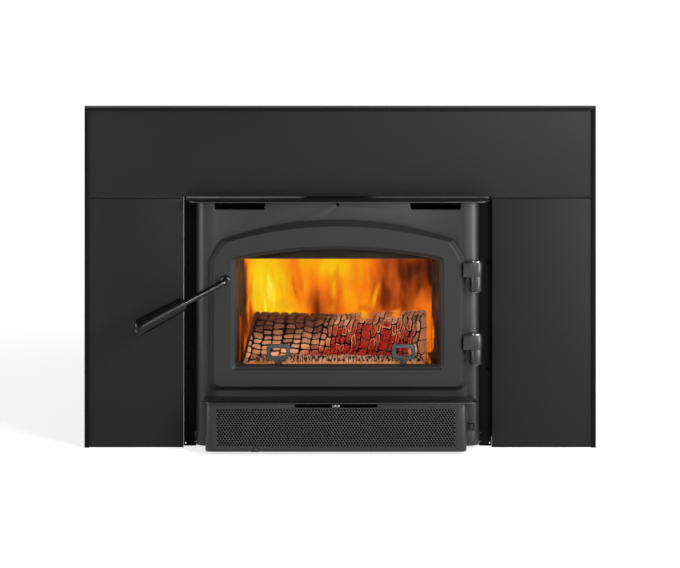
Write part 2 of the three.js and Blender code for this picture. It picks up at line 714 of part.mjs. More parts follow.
function fireboxFloor() {
  const outline = crossPlate(insideWall, fireboxFront, backWallFront - SEAT_GAP);
  const plate = prism(outline, 'z', floorTop - PLATE, floorTop);
  const ductOut = INTAKE.wall;
  const duct = (grow, z0, z1) => box(
    coverMiddle - INTAKE.width / 2 - grow, coverMiddle + INTAKE.width / 2 + grow,
    intakeFront - grow, intakeFront + INTAKE.depth + grow, z0, z1);
  const ducted = join(plate, duct(ductOut, damperTop + SEAT_GAP, floorTop - PLATE / 2));
  return cut(ducted, duct(0, damperTop - CUT_OVERRUN, floorTop + CUT_OVERRUN));
}

const controlZ = coverTop - DRAUGHT_SLOT.height / 2;
const damperUnder = controlZ + CONTROL_ROD_RADIUS + SEAT_GAP;
const damperTop = damperUnder + DAMPER.thickness;
const intakeFront = fireboxFront + INTAKE.wall + 4;

function sideWall(side) {
  const strip = wallStrip(side, 0, -PLATE, fireboxFront, fireboxBack);
  return prism(strip, 'z', baseTop + SEAT_GAP, topPlateUnder - SEAT_GAP);
}

function topPlate() {
  const flueHole = circle(BODY_OFFSET, FLUE.back, FLUE.radius + SEAT_GAP, 24);
  const plate = crossPlate(0, fireboxFront, fireboxBack);
  return prism(plate, 'z', topPlateUnder, topPlateUnder + PLATE, [flueHole]);
}

place(firebox, 'firebox_floor', fireboxFloor(), rawSteel);
place(firebox, 'firebox_left_wall', sideWall(-1), rawSteel);
place(firebox, 'firebox_right_wall', sideWall(1), rawSteel);
place(firebox, 'firebox_back_wall', prism(
  crossPlate(insideWall, backWallFront, fireboxBack),
  'z',
  floorTop - PLATE,
  topPlateUnder - SEAT_GAP,
), rawSteel);
place(firebox, 'firebox_top', topPlate(), rawSteel);

function flueCollar() {
  const foot = topPlateUnder + PLATE + SEAT_GAP;
  const { radius, wall, flange, flangeThickness, rise } = FLUE;
  const profile = [
    point(radius - wall, foot),
    point(radius + flange, foot),
    point(radius + flange, foot + flangeThickness),
    point(radius, foot + flangeThickness),
    point(radius, foot + rise),
    point(radius - wall, foot + rise),
    point(radius - wall, foot),
  ];
  return new THREE.LatheGeometry(profile, 32).rotateX(Math.PI / 2).translate(BODY_OFFSET, FLUE.back, 0);
}

place(firebox, 'flue_collar', flueCollar(), rawSteel);

// Brick linings, with their joints as shallow grooves. The side and back linings stand on the floor
// plate, and the floor bricks fill what they leave behind the air intake.
const brickLow = floorTop + SEAT_GAP;
const brickHigh = brickLow + BRICK_HEIGHT;

function sideBricks(side) {
  const y0 = fireboxFront + BRICK_SETBACK;
  const y1 = backWallFront - SEAT_GAP;
  const lining = prism(wallStrip(side, insideWall, insideBrick, y0, y1), 'z', brickLow, brickHigh);
  const grooves = [1, 2].map((i) => {
    const y = y0 + ((y1 - y0) * i) / 3;
    const x = BODY_OFFSET + side * (fireboxHalf(y) + insideBrick);
    return box(x - BRICK_JOINT.depth, x + BRICK_JOINT.depth,
      y - BRICK_JOINT.width / 2, y + BRICK_JOINT.width / 2, brickLow - CUT_OVERRUN, brickHigh + CUT_OVERRUN);
  });
  return cut(lining, ...grooves);
}

const backBrickRear = backWallFront - SEAT_GAP;
const backBrickFront = backBrickRear - BRICK;

function backBricks() {
  const outline = crossPlate(insideBrick - SEAT_GAP, backBrickFront, backBrickRear);
  const lining = prism(outline, 'z', brickLow, brickHigh);
  const grooves = [-1, 1].map((side) => {
    const x = BODY_OFFSET + (side * fireboxHalf(backBrickFront)) / 3;
    return box(x - BRICK_JOINT.width / 2, x + BRICK_JOINT.width / 2,
      backBrickFront - BRICK_JOINT.depth, backBrickFront + BRICK_JOINT.depth,
      brickLow - CUT_OVERRUN, brickHigh + CUT_OVERRUN);
  });
  return cut(lining, ...grooves);
}

function floorBricks() {
  const y0 = intakeFront + INTAKE.depth + INTAKE.wall;
  const y1 = backBrickFront - SEAT_GAP;
  const bed = prism(crossPlate(insideBrick - SEAT_GAP, y0, y1), 'z', brickLow, brickFloorTop);
  const grooves = [-1, 1].map((side) => {
    const x = BODY_OFFSET + (side * fireboxHalf(y1)) / 3;
    return box(x - BRICK_JOINT.width / 2, x + BRICK_JOINT.width / 2, y0 - CUT_OVERRUN, y1 + CUT_OVERRUN,
      brickFloorTop - BRICK_JOINT.depth, brickFloorTop + BRICK_JOINT.depth);
  });
  return cut(bed, ...grooves);
}

place(firebox, 'brick_floor', floorBricks(), firebrick);
place(firebox, 'brick_left', sideBricks(-1), firebrick);
place(firebox, 'brick_right', sideBricks(1), firebrick);
place(firebox, 'brick_back', backBricks(), firebrick);

// Secondary air tubes under the baffle board.
const tubeZ = brickHigh + TUBE_OVER_BRICK + TUBE.radius;

for (let i = 0; i < TUBE.count; i += 1) {
  const y = TUBE.first + i * TUBE.pitch;
  const half = fireboxHalf(y + TUBE.radius) + insideWall;
  const shell = prism(circle(y, tubeZ, TUBE.radius, TUBE.sides), 'x', BODY_OFFSET - half, BODY_OFFSET + half,
    [circle(y, tubeZ, TUBE.bore, TUBE.sides)]);
  const holes = [-2, -1, 0, 1, 2].map((k) => {
    const outline = circle(BODY_OFFSET + k * AIR_HOLE.pitch, tubeZ, AIR_HOLE.radius, 4);
    return prism(outline, 'y', y - TUBE.radius - CUT_OVERRUN, y);
  });
  place(firebox, `air_tube_${i + 1}`, cut(shell, ...holes), rawSteel);
}

const baffleUnder = tubeZ + TUBE.radius + SEAT_GAP;
place(firebox, 'baffle_board', prism(
  crossPlate(insideWall, TUBE.first - TUBE.pitch / 3, backWallFront - SEAT_GAP),
  'z', baffleUnder, baffleUnder + BAFFLE_THICKNESS,
), boardFibre);

// A folded sheet hung across the top of the door opening, which sends air down the glass.
function airwashDeflector() {
  const top = topPlateUnder - SEAT_GAP;
  const foot = top - DEFLECTOR.height;
  const y = skinBack + DEFLECTOR.setback;
  const half = fireboxHalf(y + SHEET) + insideWall;
  const knee = foot + DEFLECTOR.hem;
  const hip = knee + DEFLECTOR.slope;
  return prism([
    point(y, top),
    point(y, hip),
    point(y - DEFLECTOR.lean, knee),
    point(y - DEFLECTOR.lean, foot),
    point(y - DEFLECTOR.lean + SHEET, foot),
    point(y - DEFLECTOR.lean + SHEET, knee),
    point(y + SHEET, hip),
    point(y + SHEET, top),
  ], 'x', BODY_OFFSET - half, BODY_OFFSET + half);
}

place(firebox, 'airwash_deflector', airwashDeflector(), rawSteel);

// ---------------------------------------------------------------- fire

function andiron(offset) {
  const x = BODY_OFFSET + offset;
  const { width, height, bar, stem, thickness, clip, standoff } = ANDIRON;
  const foot = brickFloorTop + ANDIRON_LOOP_RISE;
  const clipped = (inset, corner) => {
    const half = width / 2 - inset;
    const z0 = foot + inset;
    const z1 = foot + height - inset;
    return [
      point(x - half + corner, z0), point(x + half - corner, z0), point(x + half, z0 + corner),
      point(x + half, z1 - corner / 2), point(x + half - corner / 2, z1),
      point(x - half + corner / 2, z1), point(x - half, z1 - corner / 2), point(x - half, z0 + corner),
    ];
  };
  const y0 = skinBack + standoff;
  const loop = prism(clipped(0, clip), 'y', y0, y0 + thickness, [clipped(bar, clip / 2)]);
  const strip = rectangle(x - stem / 2, x + stem / 2, brickLow, foot + bar / 2);
  const post = prism(strip, 'y', y0, y0 + thickness);
  return join(loop, post);
}

place(firebox, 'andiron_left', andiron(ANDIRON_OFFSET.left), ironGrey);
place(firebox, 'andiron_right', andiron(ANDIRON_OFFSET.right), ironGrey);

// The log is a row of uneven rounds along X, flat where it lies on the bricks.
function fireLog() {
  const rounds = 9;
  const sides = 12;
  const { inset, radius, offset, back } = LOG;
  const length = 2 * (fireboxHalfFront - inset);
  const floor = brickFloorTop + SEAT_GAP;
  const rings = Array.from({ length: rounds + 1 }, (_, i) => {
    const share = i / rounds;
    const x = BODY_OFFSET + offset + (share - 0.5) * length;
    const swell = radius * (1 + 0.05 * Math.cos(2 * Math.PI * share) + 0.03 * Math.sin(5 * share));
    const slant = i === 0 ? 0.28 : 0;
    return circle(0, 0, 1, sides).map((p, k) => {
      const bark = swell * (1 + 0.04 * Math.sin(3 * k + 2 * i));
      const height = Math.max(0, p.y * bark + radius);
      return new THREE.Vector3(x + slant * height, back + p.x * bark, floor + height);
    });
  });
  return loft(rings);
}

place(firebox, 'fire_log', fireLog(), char);

// ---------------------------------------------------------------- casing and base

const casingInner = CASING_GAP;
const casingOuter = CASING_GAP + SHEET;
const casingBack = fireboxBack + CASING_GAP;
const casingTopUnder = skinTop - SHEET - SEAT_GAP;

function casingWrap() {
  const x = (side, y, offset) => BODY_OFFSET + side * (fireboxHalf(y) + offset);
  const plan = [
    point(x(-1, fireboxFront, casingOuter), fireboxFront),
    point(x(-1, casingBack + SHEET, casingOuter), casingBack + SHEET),
    point(x(1, casingBack + SHEET, casingOuter), casingBack + SHEET),
    point(x(1, fireboxFront, casingOuter), fireboxFront),
    point(x(1, fireboxFront, casingInner), fireboxFront),
    point(x(1, casingBack, casingInner), casingBack),
    point(x(-1, casingBack, casingInner), casingBack),
    point(x(-1, fireboxFront, casingInner), fireboxFront),
  ];
  return prism(plan, 'z', baseTop + SEAT_GAP, casingTopUnder - SEAT_GAP);
}

place(body, 'casing_wrap', casingWrap(), galvanised);
place(body, 'casing_top', prism(
  crossPlate(casingOuter, fireboxFront, casingBack + SHEET), 'z', casingTopUnder, casingTopUnder + SHEET,
  [circle(BODY_OFFSET, FLUE.back, FLUE.radius + COLLAR_GAP, 32)],
), galvanised);

const levellerPlaces = [-1, 1].flatMap((side) => [
  point(BODY_OFFSET + side * (bodyHalf + LEVELLER_FRONT.side), LEVELLER_FRONT.back),
  point(BODY_OFFSET + side * (fireboxHalf(LEVELLER_REAR) + casingOuter + LEVELLER.ear), LEVELLER_REAR),
]);

function basePan() {
  const plate = prism(crossPlate(casingOuter, fireboxFront, casingBack + SHEET), 'z', BODY_RISE, baseTop);
  const ears = levellerPlaces.map(({ x, y }) => {
    const side = Math.sign(x - BODY_OFFSET);
    const root = BODY_OFFSET + side * (fireboxHalf(y) - LEVELLER.ear);
    const tip = x + side * (LEVELLER.radius + SHEET);
    const [x0, x1] = [Math.min(root, tip), Math.max(root, tip)];
    return box(x0, x1, y - LEVELLER.ear, y + LEVELLER.ear, BODY_RISE, baseTop);
  });
  const holes = levellerPlaces.map(({ x, y }) => {
    const outline = circle(x, y, LEVELLER.radius + PIN_CLEARANCE, 10);
    return prism(outline, 'z', BODY_RISE - CUT_OVERRUN, baseTop + CUT_OVERRUN);
  });
  return cut(join(plate, ...ears), ...holes);
}

place(body, 'base_pan', basePan(), rawSteel);

levellerPlaces.forEach(({ x, y }, i) => {
  const bolt = join(
    prism(circle(x, y, LEVELLER.foot, 12), 'z', 0, LEVELLER.footHeight),
    prism(circle(x, y, LEVELLER.radius, 10), 'z', 0, LEVELLER.height),
    prism(
      circle(x, y, LEVELLER.nut, 6),
      'z',
      BODY_RISE - SEAT_GAP - LEVELLER.footHeight,
      BODY_RISE - SEAT_GAP,
    ),
  );
  place(body, `levelling_bolt_${i + 1}`, bolt, steel);
});

// ---------------------------------------------------------------- door

const bandShare = (share) => mix(doorOuter, windowFace, share);
const bevelShare = (share) => mix(windowInner, windowFace, share);
const grooveFloorOut = doorBackOut + GROOVE.depth;

function doorFrame() {
  const rings = [
    upright(doorOuter, doorBackOut),
    upright(doorOuter, doorBackOut + DOOR_EDGE),
    upright(doorFace, doorFaceOut),
    upright(windowFace, doorFaceOut),
    upright(windowInner, doorBackOut),
    upright(bandShare(GROOVE.inner), doorBackOut),
    upright(bandShare(GROOVE.inner), grooveFloorOut),
    upright(bandShare(GROOVE.outer), grooveFloorOut),
    upright(bandShare(GROOVE.outer), doorBackOut),
  ];
  const bore = circle(shaftX, shaftZ, ROD_RADIUS + PIN_CLEARANCE, 16);
  return cut(loft(rings, true), prism(bore, 'y', -doorFaceOut - CUT_OVERRUN, -doorBackOut + CUT_OVERRUN));
}

place(door, 'door_frame', doorFrame(), castPaint);

const gasketOut = doorBackOut - SEAT_GAP;
const glassFrontOut = gasketOut - GASKET_THICKNESS - SEAT_GAP;
const glassBackOut = glassFrontOut - GLASS_THICKNESS;
const retainerOut = glassBackOut - SEAT_GAP;

place(door, 'door_glass', prism(bevelShare(GLASS_REACH), 'y', -glassFrontOut, -glassBackOut), ceramicGlass);

place(door, 'glass_gasket', loft([
  upright(bevelShare(GASKET_INNER), gasketOut - GASKET_THICKNESS),
  upright(bevelShare(GASKET_INNER), gasketOut),
  upright(bevelShare(GLASS_REACH), gasketOut),
  upright(bevelShare(GLASS_REACH), gasketOut - GASKET_THICKNESS),
], true), fibre);

place(door, 'glass_retainer', loft([
  upright(bevelShare(RETAINER.outer), gasketOut),
  upright(bevelShare(RETAINER.outer), retainerOut - RETAINER_THICKNESS),
  upright(bevelShare(RETAINER.inner), retainerOut - RETAINER_THICKNESS),
  upright(bevelShare(RETAINER.inner), retainerOut),
  upright(bevelShare(RETAINER.step), retainerOut),
  upright(bevelShare(RETAINER.step), gasketOut),
], true), rawSteel);

place(door, 'door_rope_seal', loft([
  upright(bandShare(GROOVE.outer + ROPE_INSET), BODY_OUT + SEAT_GAP),
  upright(bandShare(GROOVE.outer + ROPE_INSET), grooveFloorOut - SEAT_GAP),
  upright(bandShare(GROOVE.inner - ROPE_INSET), grooveFloorOut - SEAT_GAP),
  upright(bandShare(GROOVE.inner - ROPE_INSET), BODY_OUT + SEAT_GAP),
], true), fibre);

// ---------------------------------------------------------------- hinges

const doorRight = BODY_OFFSET + DOOR_WIDTH / 2;
const bevelRun = DOOR_THICKNESS - DOOR_EDGE;

// The lug's arm lies over the door's bevel and its round end is the hinge's upper knuckle.
function hingeLug(foot) {
  const end = hingeX - LUG_REACH;
  const clear = 1.5 * SEAT_GAP;
  const armBackOut = doorBackOut + SEAT_GAP;
  const backAngle = 180 - THREE.MathUtils.radToDeg(Math.asin((-armBackOut - hingeY) / LUG_RADIUS));
  const bevelOut = doorBackOut + DOOR_EDGE + (bevelRun * (doorRight + clear - end)) / DOOR_BEVEL;
  const plan = [
    point(end, hingeY - LUG_RADIUS),
    ...arc(hingeX, hingeY, LUG_RADIUS, -90, backAngle, 12),
    point(doorRight + clear, -armBackOut),
    point(doorRight + clear, -(doorBackOut + DOOR_EDGE)),
    point(end, -bevelOut),
  ];
  const bore = circle(hingeX, hingeY, PIN_RADIUS + PIN_CLEARANCE, 12);
  return prism(plan, 'z', foot, foot + LUG_HEIGHT, [bore]);
}

function hingeBracket(head) {
  const foot = head - KNUCKLE_HEIGHT;
  const knuckle = prism(circle(hingeX, hingeY, KNUCKLE_RADIUS, 16), 'z', foot, head);
  const webBack = hingeY + HINGE_FOOT.depth;
  const web = box(hingeX - HINGE_FOOT.left, hingeX + HINGE_FOOT.right, hingeY, webBack, foot, head);
  const skin = roundFront(
    bodyLeft - SEAT_GAP,
    bodyRight + SEAT_GAP,
    -BODY_OUT - SEAT_GAP,
    SKIN_RETURN,
    SKIN_CORNER + SEAT_GAP,
    6,
  );
  const bore = circle(hingeX, hingeY, PIN_RADIUS + PIN_CLEARANCE, 12);
  return cut(
    join(knuckle, web),
    prism(skin, 'z', foot - CUT_OVERRUN, head + CUT_OVERRUN),
    prism(bore, 'z', foot - CUT_OVERRUN, head + CUT_OVERRUN),
  );
}

function hingePin(lugFoot) {
  const lugHead = lugFoot + LUG_HEIGHT;
  const tail = lugFoot - SEAT_GAP - KNUCKLE_HEIGHT - PIN_TAIL;
  const headFoot = lugHead + SEAT_GAP;
  const { radius, height } = PIN_HEAD;
  const profile = [
    point(0, tail),
    point(PIN_RADIUS - 1, tail),
    point(PIN_RADIUS, tail + 1),
    point(PIN_RADIUS, headFoot),
    point(radius, headFoot),
    point(radius, headFoot + height / 2),
    point(radius - height / 2, headFoot + height),
    point(0, headFoot + height),
  ];
  return new THREE.LatheGeometry(profile, 12).rotateX(Math.PI / 2).translate(hingeX, hingeY, 0);
}

const lugFeet = { upper: doorApex - UPPER_HINGE_DROP - LUG_HEIGHT, lower: doorFoot + LOWER_HINGE_RISE };
for (const [level, lugFoot] of Object.entries(lugFeet)) {
  place(door, `hinge_lug_${level}`, hingeLug(lugFoot), castPaint);
  place(door, `hinge_pin_${level}`, hingePin(lugFoot), steel);
  place(body, `hinge_bracket_${level}`, hingeBracket(lugFoot - SEAT_GAP), castPaint);
}

// ---------------------------------------------------------------- handle and latch

const droop = THREE.MathUtils.degToRad(HANDLE_DROOP);
const lean = THREE.MathUtils.degToRad(HANDLE_LEAN);
const handleAlong = new THREE.Vector3(
  -Math.cos(lean) * Math.cos(droop),
  -Math.sin(lean),
  -Math.cos(lean) * Math.sin(droop),
);
const elbow = new THREE.Vector3(shaftX, -(doorFaceOut + ROD_ELBOW), shaftZ);
const camBackY = skinBack + CAM.standoff;

function handleRod() {
  const inwards = new THREE.Vector3(0, 1, 0);
  const bend = new THREE.QuadraticBezierCurve3(
    elbow.clone().addScaledVector(inwards, ROD_BEND),
    elbow,
    elbow.clone().addScaledVector(handleAlong, ROD_BEND),
  );
  const path = [
    new THREE.Vector3(shaftX, camBackY, shaftZ),
    ...bend.getPoints(5),
    elbow.clone().addScaledVector(handleAlong, ROD_REACH + ROD_IN_GRIP),
  ];
  const collarFront = doorFaceOut + SEAT_GAP + ROD_COLLAR.length;
  const collarBack = doorFaceOut + SEAT_GAP;
  const collar = prism(circle(shaftX, shaftZ, ROD_COLLAR.radius, 14), 'y', -collarFront, -collarBack);
  return join(tube(path, ROD_RADIUS, 12), collar);
}

function handleGrip() {
  const bore = ROD_RADIUS + PIN_CLEARANCE;
  const { start, end } = GRIP_RADIUS;
  const profile = [
    point(0, ROD_IN_GRIP + SEAT_GAP),
    point(bore, ROD_IN_GRIP + SEAT_GAP),
    point(bore, 0),
    point(start - 2, 0),
    point(start, 2.5),
    point(start + 0.35 * (end - start), 0.4 * GRIP_LENGTH),
    point(end, 0.82 * GRIP_LENGTH),
    point(end - 0.4, GRIP_LENGTH - 5),
    point(end - 3, GRIP_LENGTH),
    point(end - 5, GRIP_LENGTH),
    point(end - 7.5, GRIP_LENGTH - 2.5),
    point(0, GRIP_LENGTH - 2.5),
  ];
  const turn = new THREE.Quaternion().setFromUnitVectors(new THREE.Vector3(0, 1, 0), handleAlong);
  const root = elbow.clone().addScaledVector(handleAlong, ROD_REACH);
  return new THREE.LatheGeometry(profile, 18).applyQuaternion(turn).translate(root.x, root.y, root.z);
}

// The cam's nose points up and stays inside the door opening.
function latchCam() {
  const outline = [
    ...arc(shaftX, shaftZ, CAM.hub, -180, 0, 8),
    point(shaftX + CAM.width / 2, shaftZ + CAM.nose - 4),
    point(shaftX + CAM.width / 2 - 4, shaftZ + CAM.nose),
    point(shaftX - CAM.width / 2 + 2, shaftZ + CAM.nose),
    point(shaftX - CAM.width / 2, shaftZ + CAM.nose - 2),
  ];
  const bore = circle(shaftX, shaftZ, ROD_RADIUS + PIN_CLEARANCE, 12);
  return prism(outline, 'y', camBackY - CAM.thickness, camBackY, [bore]);
}

place(handle, 'handle_rod', handleRod(), gloss);
place(handle, 'handle_grip', handleGrip(), gloss);
place(handle, 'latch_cam', latchCam(), rawSteel);

// ---------------------------------------------------------------- fan cover and grille

const grilleHalf = coverHalf - GRILLE.margin;
const grilleFoot = BODY_RISE + GRILLE.foot;
const grilleHead = coverTop - GRILLE.head;

function blowerCover() {
  const back = -(BODY_OUT + SEAT_GAP);
  const plan = bentSheet(coverMiddle, coverHalf, coverFront, back, COVER_CORNER, SHEET, 4);
  const through = (outline) => prism(
    outline,
    'y',
    coverFront - CUT_OVERRUN,
    coverFront + SHEET + CUT_OVERRUN,
  );
  const slotHalf = DRAUGHT_SLOT.width / 2;
  const slotFoot = coverTop - DRAUGHT_SLOT.height;
  return cut(
    prism(plan, 'z', BODY_RISE, coverTop),
    through(rectangle(
      coverMiddle - grilleHalf - SEAT_GAP,
      coverMiddle + grilleHalf + SEAT_GAP,
      grilleFoot - SEAT_GAP,
      grilleHead + SEAT_GAP,
    )),
    through(rectangle(coverMiddle - slotHalf, coverMiddle + slotHalf, slotFoot, coverTop + CUT_OVERRUN)),
    through(circle(coverMiddle + CORD_NOTCH.offset, BODY_RISE, CORD_NOTCH.radius, 12)),
  );
}

function blowerGrille() {
  const { radius, pitch, row, sides } = GRILLE_HOLE;
  const width = 2 * grilleHalf;
  const height = grilleHead - grilleFoot;
  const columns = Math.floor((width - 2 * radius - pitch / 2) / pitch);
  const rows = Math.floor((height - 2 * radius) / row);
  const holes = [];
  for (let r = 0; r < rows; r += 1) {
    const z = (grilleFoot + grilleHead) / 2 + (r - (rows - 1) / 2) * row;
    const stagger = r % 2 ? pitch / 4 : -pitch / 4;
    for (let c = 0; c < columns; c += 1) {
      const x = coverMiddle + stagger + (c - (columns - 1) / 2) * pitch;
      holes.push(circle(x, z, radius, sides));
    }
  }
  const sheet = rectangle(coverMiddle - grilleHalf, coverMiddle + grilleHalf, grilleFoot, grilleHead);
  return prism(sheet, 'y', coverFront, coverFront + SHEET, holes);
}

place(fan, 'blower_cover', blowerCover(), castPaint);
place(fan, 'blower_grille', blowerGrille(), castPaint);

// ---------------------------------------------------------------- fan

const fanY = -(BODY_OUT + FAN_DEPTH);

// A shelf on the skin's face, with two cheeks that hold the motor.
function blowerBracket() {
  const back = -(BODY_OUT + SEAT_GAP);
  const shelfTop = FAN_HEIGHT - IMPELLER.radius - SHELF.drop;
  const half = SHELF.width / 2;
  const front = coverFront + SHEET + IMPELLER.gap;
  const shelf = box(coverMiddle - half, coverMiddle + half, front, back, shelfTop - SHEET, shelfTop);
  const flange = box(coverMiddle - half, coverMiddle + half, back - SHEET, back,
    shelfTop - SHEET, FAN_HEIGHT - FAN_WINDOW.height / 2 - SHEET);
  const cheeks = [-1, 1].map((side) => {
    const x = coverMiddle + side * (MOTOR.length / 2 - 2 * SHEET);
    const cheek = box(x - SHEET, x + SHEET, fanY - MOTOR.radius, back, shelfTop - SHEET, FAN_HEIGHT);
    const seat = circle(fanY, FAN_HEIGHT, MOTOR.radius + SEAT_GAP, 16);
    return cut(cheek, prism(seat, 'x', x - SHEET - CUT_OVERRUN, x + SHEET + CUT_OVERRUN));
  });
  return join(shelf, flange, ...cheeks);
}

function blowerMotor() {
  const half = MOTOR.length / 2;
  const outline = circle(fanY, FAN_HEIGHT, MOTOR.radius, 16);
  const barrel = prism(outline, 'x', coverMiddle - half, coverMiddle + half);
  const bores = [-1, 1].map((side) => {
    const end = coverMiddle + side * half;
    const inner = end - side * 12;
    return prism(circle(fanY, FAN_HEIGHT, MOTOR_SHAFT_RADIUS + PIN_CLEARANCE, 10), 'x',
      Math.min(end + side * CUT_OVERRUN, inner), Math.max(end + side * CUT_OVERRUN, inner));
  });
  return cut(barrel, ...bores);
}

// A squirrel-cage wheel: a drive disc, a ring of blades and an end ring, on its own stub shaft.
function impeller(side) {
  const near = coverMiddle + side * (MOTOR.length / 2 + IMPELLER.gap);
  const far = near + side * IMPELLER.length;
  const { radius, blade, blades, disc } = IMPELLER;
  const slice = (outline, a, b, holes) => prism(outline, 'x', Math.min(a, b), Math.max(a, b), holes);
  const round = (r, sides) => circle(fanY, FAN_HEIGHT, r, sides);
  const parts = [
    slice(round(radius, 2 * blades), near, near + side * disc),
    slice(round(radius, 2 * blades), far - side * disc, far, [round(radius - blade, blades)]),
    slice(round(MOTOR_SHAFT_RADIUS, 10), near + side * disc / 2, near - side * (IMPELLER.gap + 11)),
  ];
  for (let i = 0; i < blades; i += 1) {
    const angle = (2 * Math.PI * i) / blades;
    const at = (r, turn) => point(fanY + r * Math.cos(angle + turn), FAN_HEIGHT + r * Math.sin(angle + turn));
    const rim = radius - 0.6;
    const root = radius - blade + 0.6;
    parts.push(slice([at(rim, 0), at(rim, 0.07), at(root, 0.22), at(root, 0.15)],
      near + side * disc / 2, far - side * disc / 2));
  }
  return join(...parts);
}

place(fan, 'blower_bracket', blowerBracket(), galvanised);
place(fan, 'blower_motor', blowerMotor(), rawSteel);
place(fanRotor, 'impeller_left', impeller(-1), galvanised);
place(fanRotor, 'impeller_right', impeller(1), galvanised);

// ---------------------------------------------------------------- air control

function controlRod() {
  const knobOut = -coverFront + 2;
  const { radius, waist, length } = CONTROL_KNOB;
  const half = length / 2;
  const profile = [
    point(0, -half),
    point(radius * 0.75, -half),
    point(radius, -half + 1.5),
    point(radius, -1.8),
    point(waist, 0),
    point(radius, 1.8),
    point(radius, half - 1.5),
    point(radius * 0.75, half),
    point(0, half),
  ];
  const knob = new THREE.LatheGeometry(profile, 10)
    .rotateZ(Math.PI / 2)
    .translate(coverMiddle, -knobOut, controlZ);
  const outline = circle(coverMiddle, controlZ, CONTROL_ROD_RADIUS, 8);
  const shaft = prism(outline, 'y', -knobOut, damperFront + DAMPER.depth / 2);
  return join(knob, shaft);
}

const damperFront = intakeFront - (DAMPER.depth - INTAKE.depth) / 2;

place(airControl, 'air_control_rod', controlRod(), steel);
place(airControl, 'air_damper_plate', box(
  coverMiddle - DAMPER.width / 2, coverMiddle + DAMPER.width / 2,
  damperFront, damperFront + DAMPER.depth, damperUnder, damperTop,
), rawSteel);

// ---------------------------------------------------------------- fan switch

const switchY = -(BODY_OUT + SEAT_GAP);
const rockerHalf = ROCKER.height / 2;

function switchBezel() {
  const inset = SWITCH.flange + SEAT_GAP;
  const flange = box(switchLeft, switchRight, switchY - SWITCH.flange, switchY, switchFoot, switchHead);
  const barrel = box(
    switchLeft + inset,
    switchRight - inset,
    switchY - SWITCH.flange / 2,
    switchY + SWITCH.depth,
    switchFoot + inset,
    switchHead - inset,
  );
  const pocket = box(
    switchMiddle - ROCKER.width / 2 - SEAT_GAP, switchMiddle + ROCKER.width / 2 + SEAT_GAP,
    switchY - SWITCH.flange - CUT_OVERRUN, switchY + SWITCH.depth - SHEET,
    SWITCH.middle - rockerHalf - SEAT_GAP, SWITCH.middle + rockerHalf + SEAT_GAP,
  );
  return cut(join(flange, barrel), pocket);
}

// The rocker's face is a shallow V, so that either half can be pressed in.
function switchRocker() {
  const face = switchY - SWITCH.flange;
  const z = SWITCH.middle;
  const outline = [
    point(face - ROCKER.proud, z - rockerHalf + 0.6),
    point(face - ROCKER.proud / 2, z),
    point(face - ROCKER.proud, z + rockerHalf - 0.6),
    point(face + ROCKER.proud, z + rockerHalf - 0.8),
    point(face + 3 * ROCKER.proud, z),
    point(face + ROCKER.proud, z - rockerHalf + 0.8),
  ];
  return prism(outline, 'x', switchMiddle - ROCKER.width / 2, switchMiddle + ROCKER.width / 2);
}

place(fanSwitch, 'switch_bezel', switchBezel(), plastic);
place(fanSwitch, 'switch_rocker', switchRocker(), plastic);

// ---------------------------------------------------------------- origin

// The part's origin is the middle of its footprint, on the hearth.
insert.updateMatrixWorld(true);
const middleOfAll = new THREE.Box3().setFromObject(insert).getCenter(new THREE.Vector3());
insert.position.set(-middleOfAll.x, -middleOfAll.y, 0);
insert.updateMatrixWorld(true);

export default insert;
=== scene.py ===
"""Looks of a wood-burning fireplace insert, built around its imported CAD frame.

Every CAD part keeps its place and shape. This file softens the edges of the sheet metal, gives every
part its finish, and builds the pieces whose detail is finer than the frame: the cast door, the
perforated grille, the seals and bushing, the handle, the bright pin heads, the charred log, the coals
and the fire. Sizes are in metres.
"""

import json
import math

import bpy
from bpy.props import FloatProperty, FloatVectorProperty, IntProperty, PointerProperty
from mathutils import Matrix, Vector, noise

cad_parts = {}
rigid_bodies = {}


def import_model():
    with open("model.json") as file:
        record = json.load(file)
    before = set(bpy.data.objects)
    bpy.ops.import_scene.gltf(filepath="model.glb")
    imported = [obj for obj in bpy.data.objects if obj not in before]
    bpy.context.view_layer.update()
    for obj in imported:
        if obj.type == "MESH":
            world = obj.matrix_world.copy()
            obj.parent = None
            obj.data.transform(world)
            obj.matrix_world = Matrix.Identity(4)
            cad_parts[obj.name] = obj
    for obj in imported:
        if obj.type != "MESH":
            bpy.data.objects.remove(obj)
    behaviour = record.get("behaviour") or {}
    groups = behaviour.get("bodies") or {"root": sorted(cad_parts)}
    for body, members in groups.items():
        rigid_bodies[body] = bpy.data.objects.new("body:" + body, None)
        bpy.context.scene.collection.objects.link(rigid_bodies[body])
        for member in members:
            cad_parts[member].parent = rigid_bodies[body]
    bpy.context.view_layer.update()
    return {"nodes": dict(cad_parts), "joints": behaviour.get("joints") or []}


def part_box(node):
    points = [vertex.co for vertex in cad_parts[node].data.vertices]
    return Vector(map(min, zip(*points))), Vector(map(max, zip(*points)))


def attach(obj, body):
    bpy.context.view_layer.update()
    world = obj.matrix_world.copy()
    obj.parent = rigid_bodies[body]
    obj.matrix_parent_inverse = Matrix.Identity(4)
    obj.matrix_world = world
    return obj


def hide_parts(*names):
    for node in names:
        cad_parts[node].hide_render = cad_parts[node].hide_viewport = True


bl_info = {
    "name": "Fireplace Insert",
    "version": (1, 0, 0),
    "blender": (4, 5, 0),
    "location": "3D View > Sidebar > Hearth",
    "description": "Builds the cast door, grille, seals, handle, log and fire of a fireplace insert",
    "category": "Add Mesh",
}

for leftover in list(bpy.data.objects):
    bpy.data.objects.remove(leftover)
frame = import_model()
NODES = frame["nodes"]

MM = 0.001
SHARP_ANGLE = math.radians(38)  # a fold sharper than this stays an edge
MIDDLE_X = -0.005  # the insert sits this far left of the surround's middle


# ---------------------------------------------------------------- sizes and colours


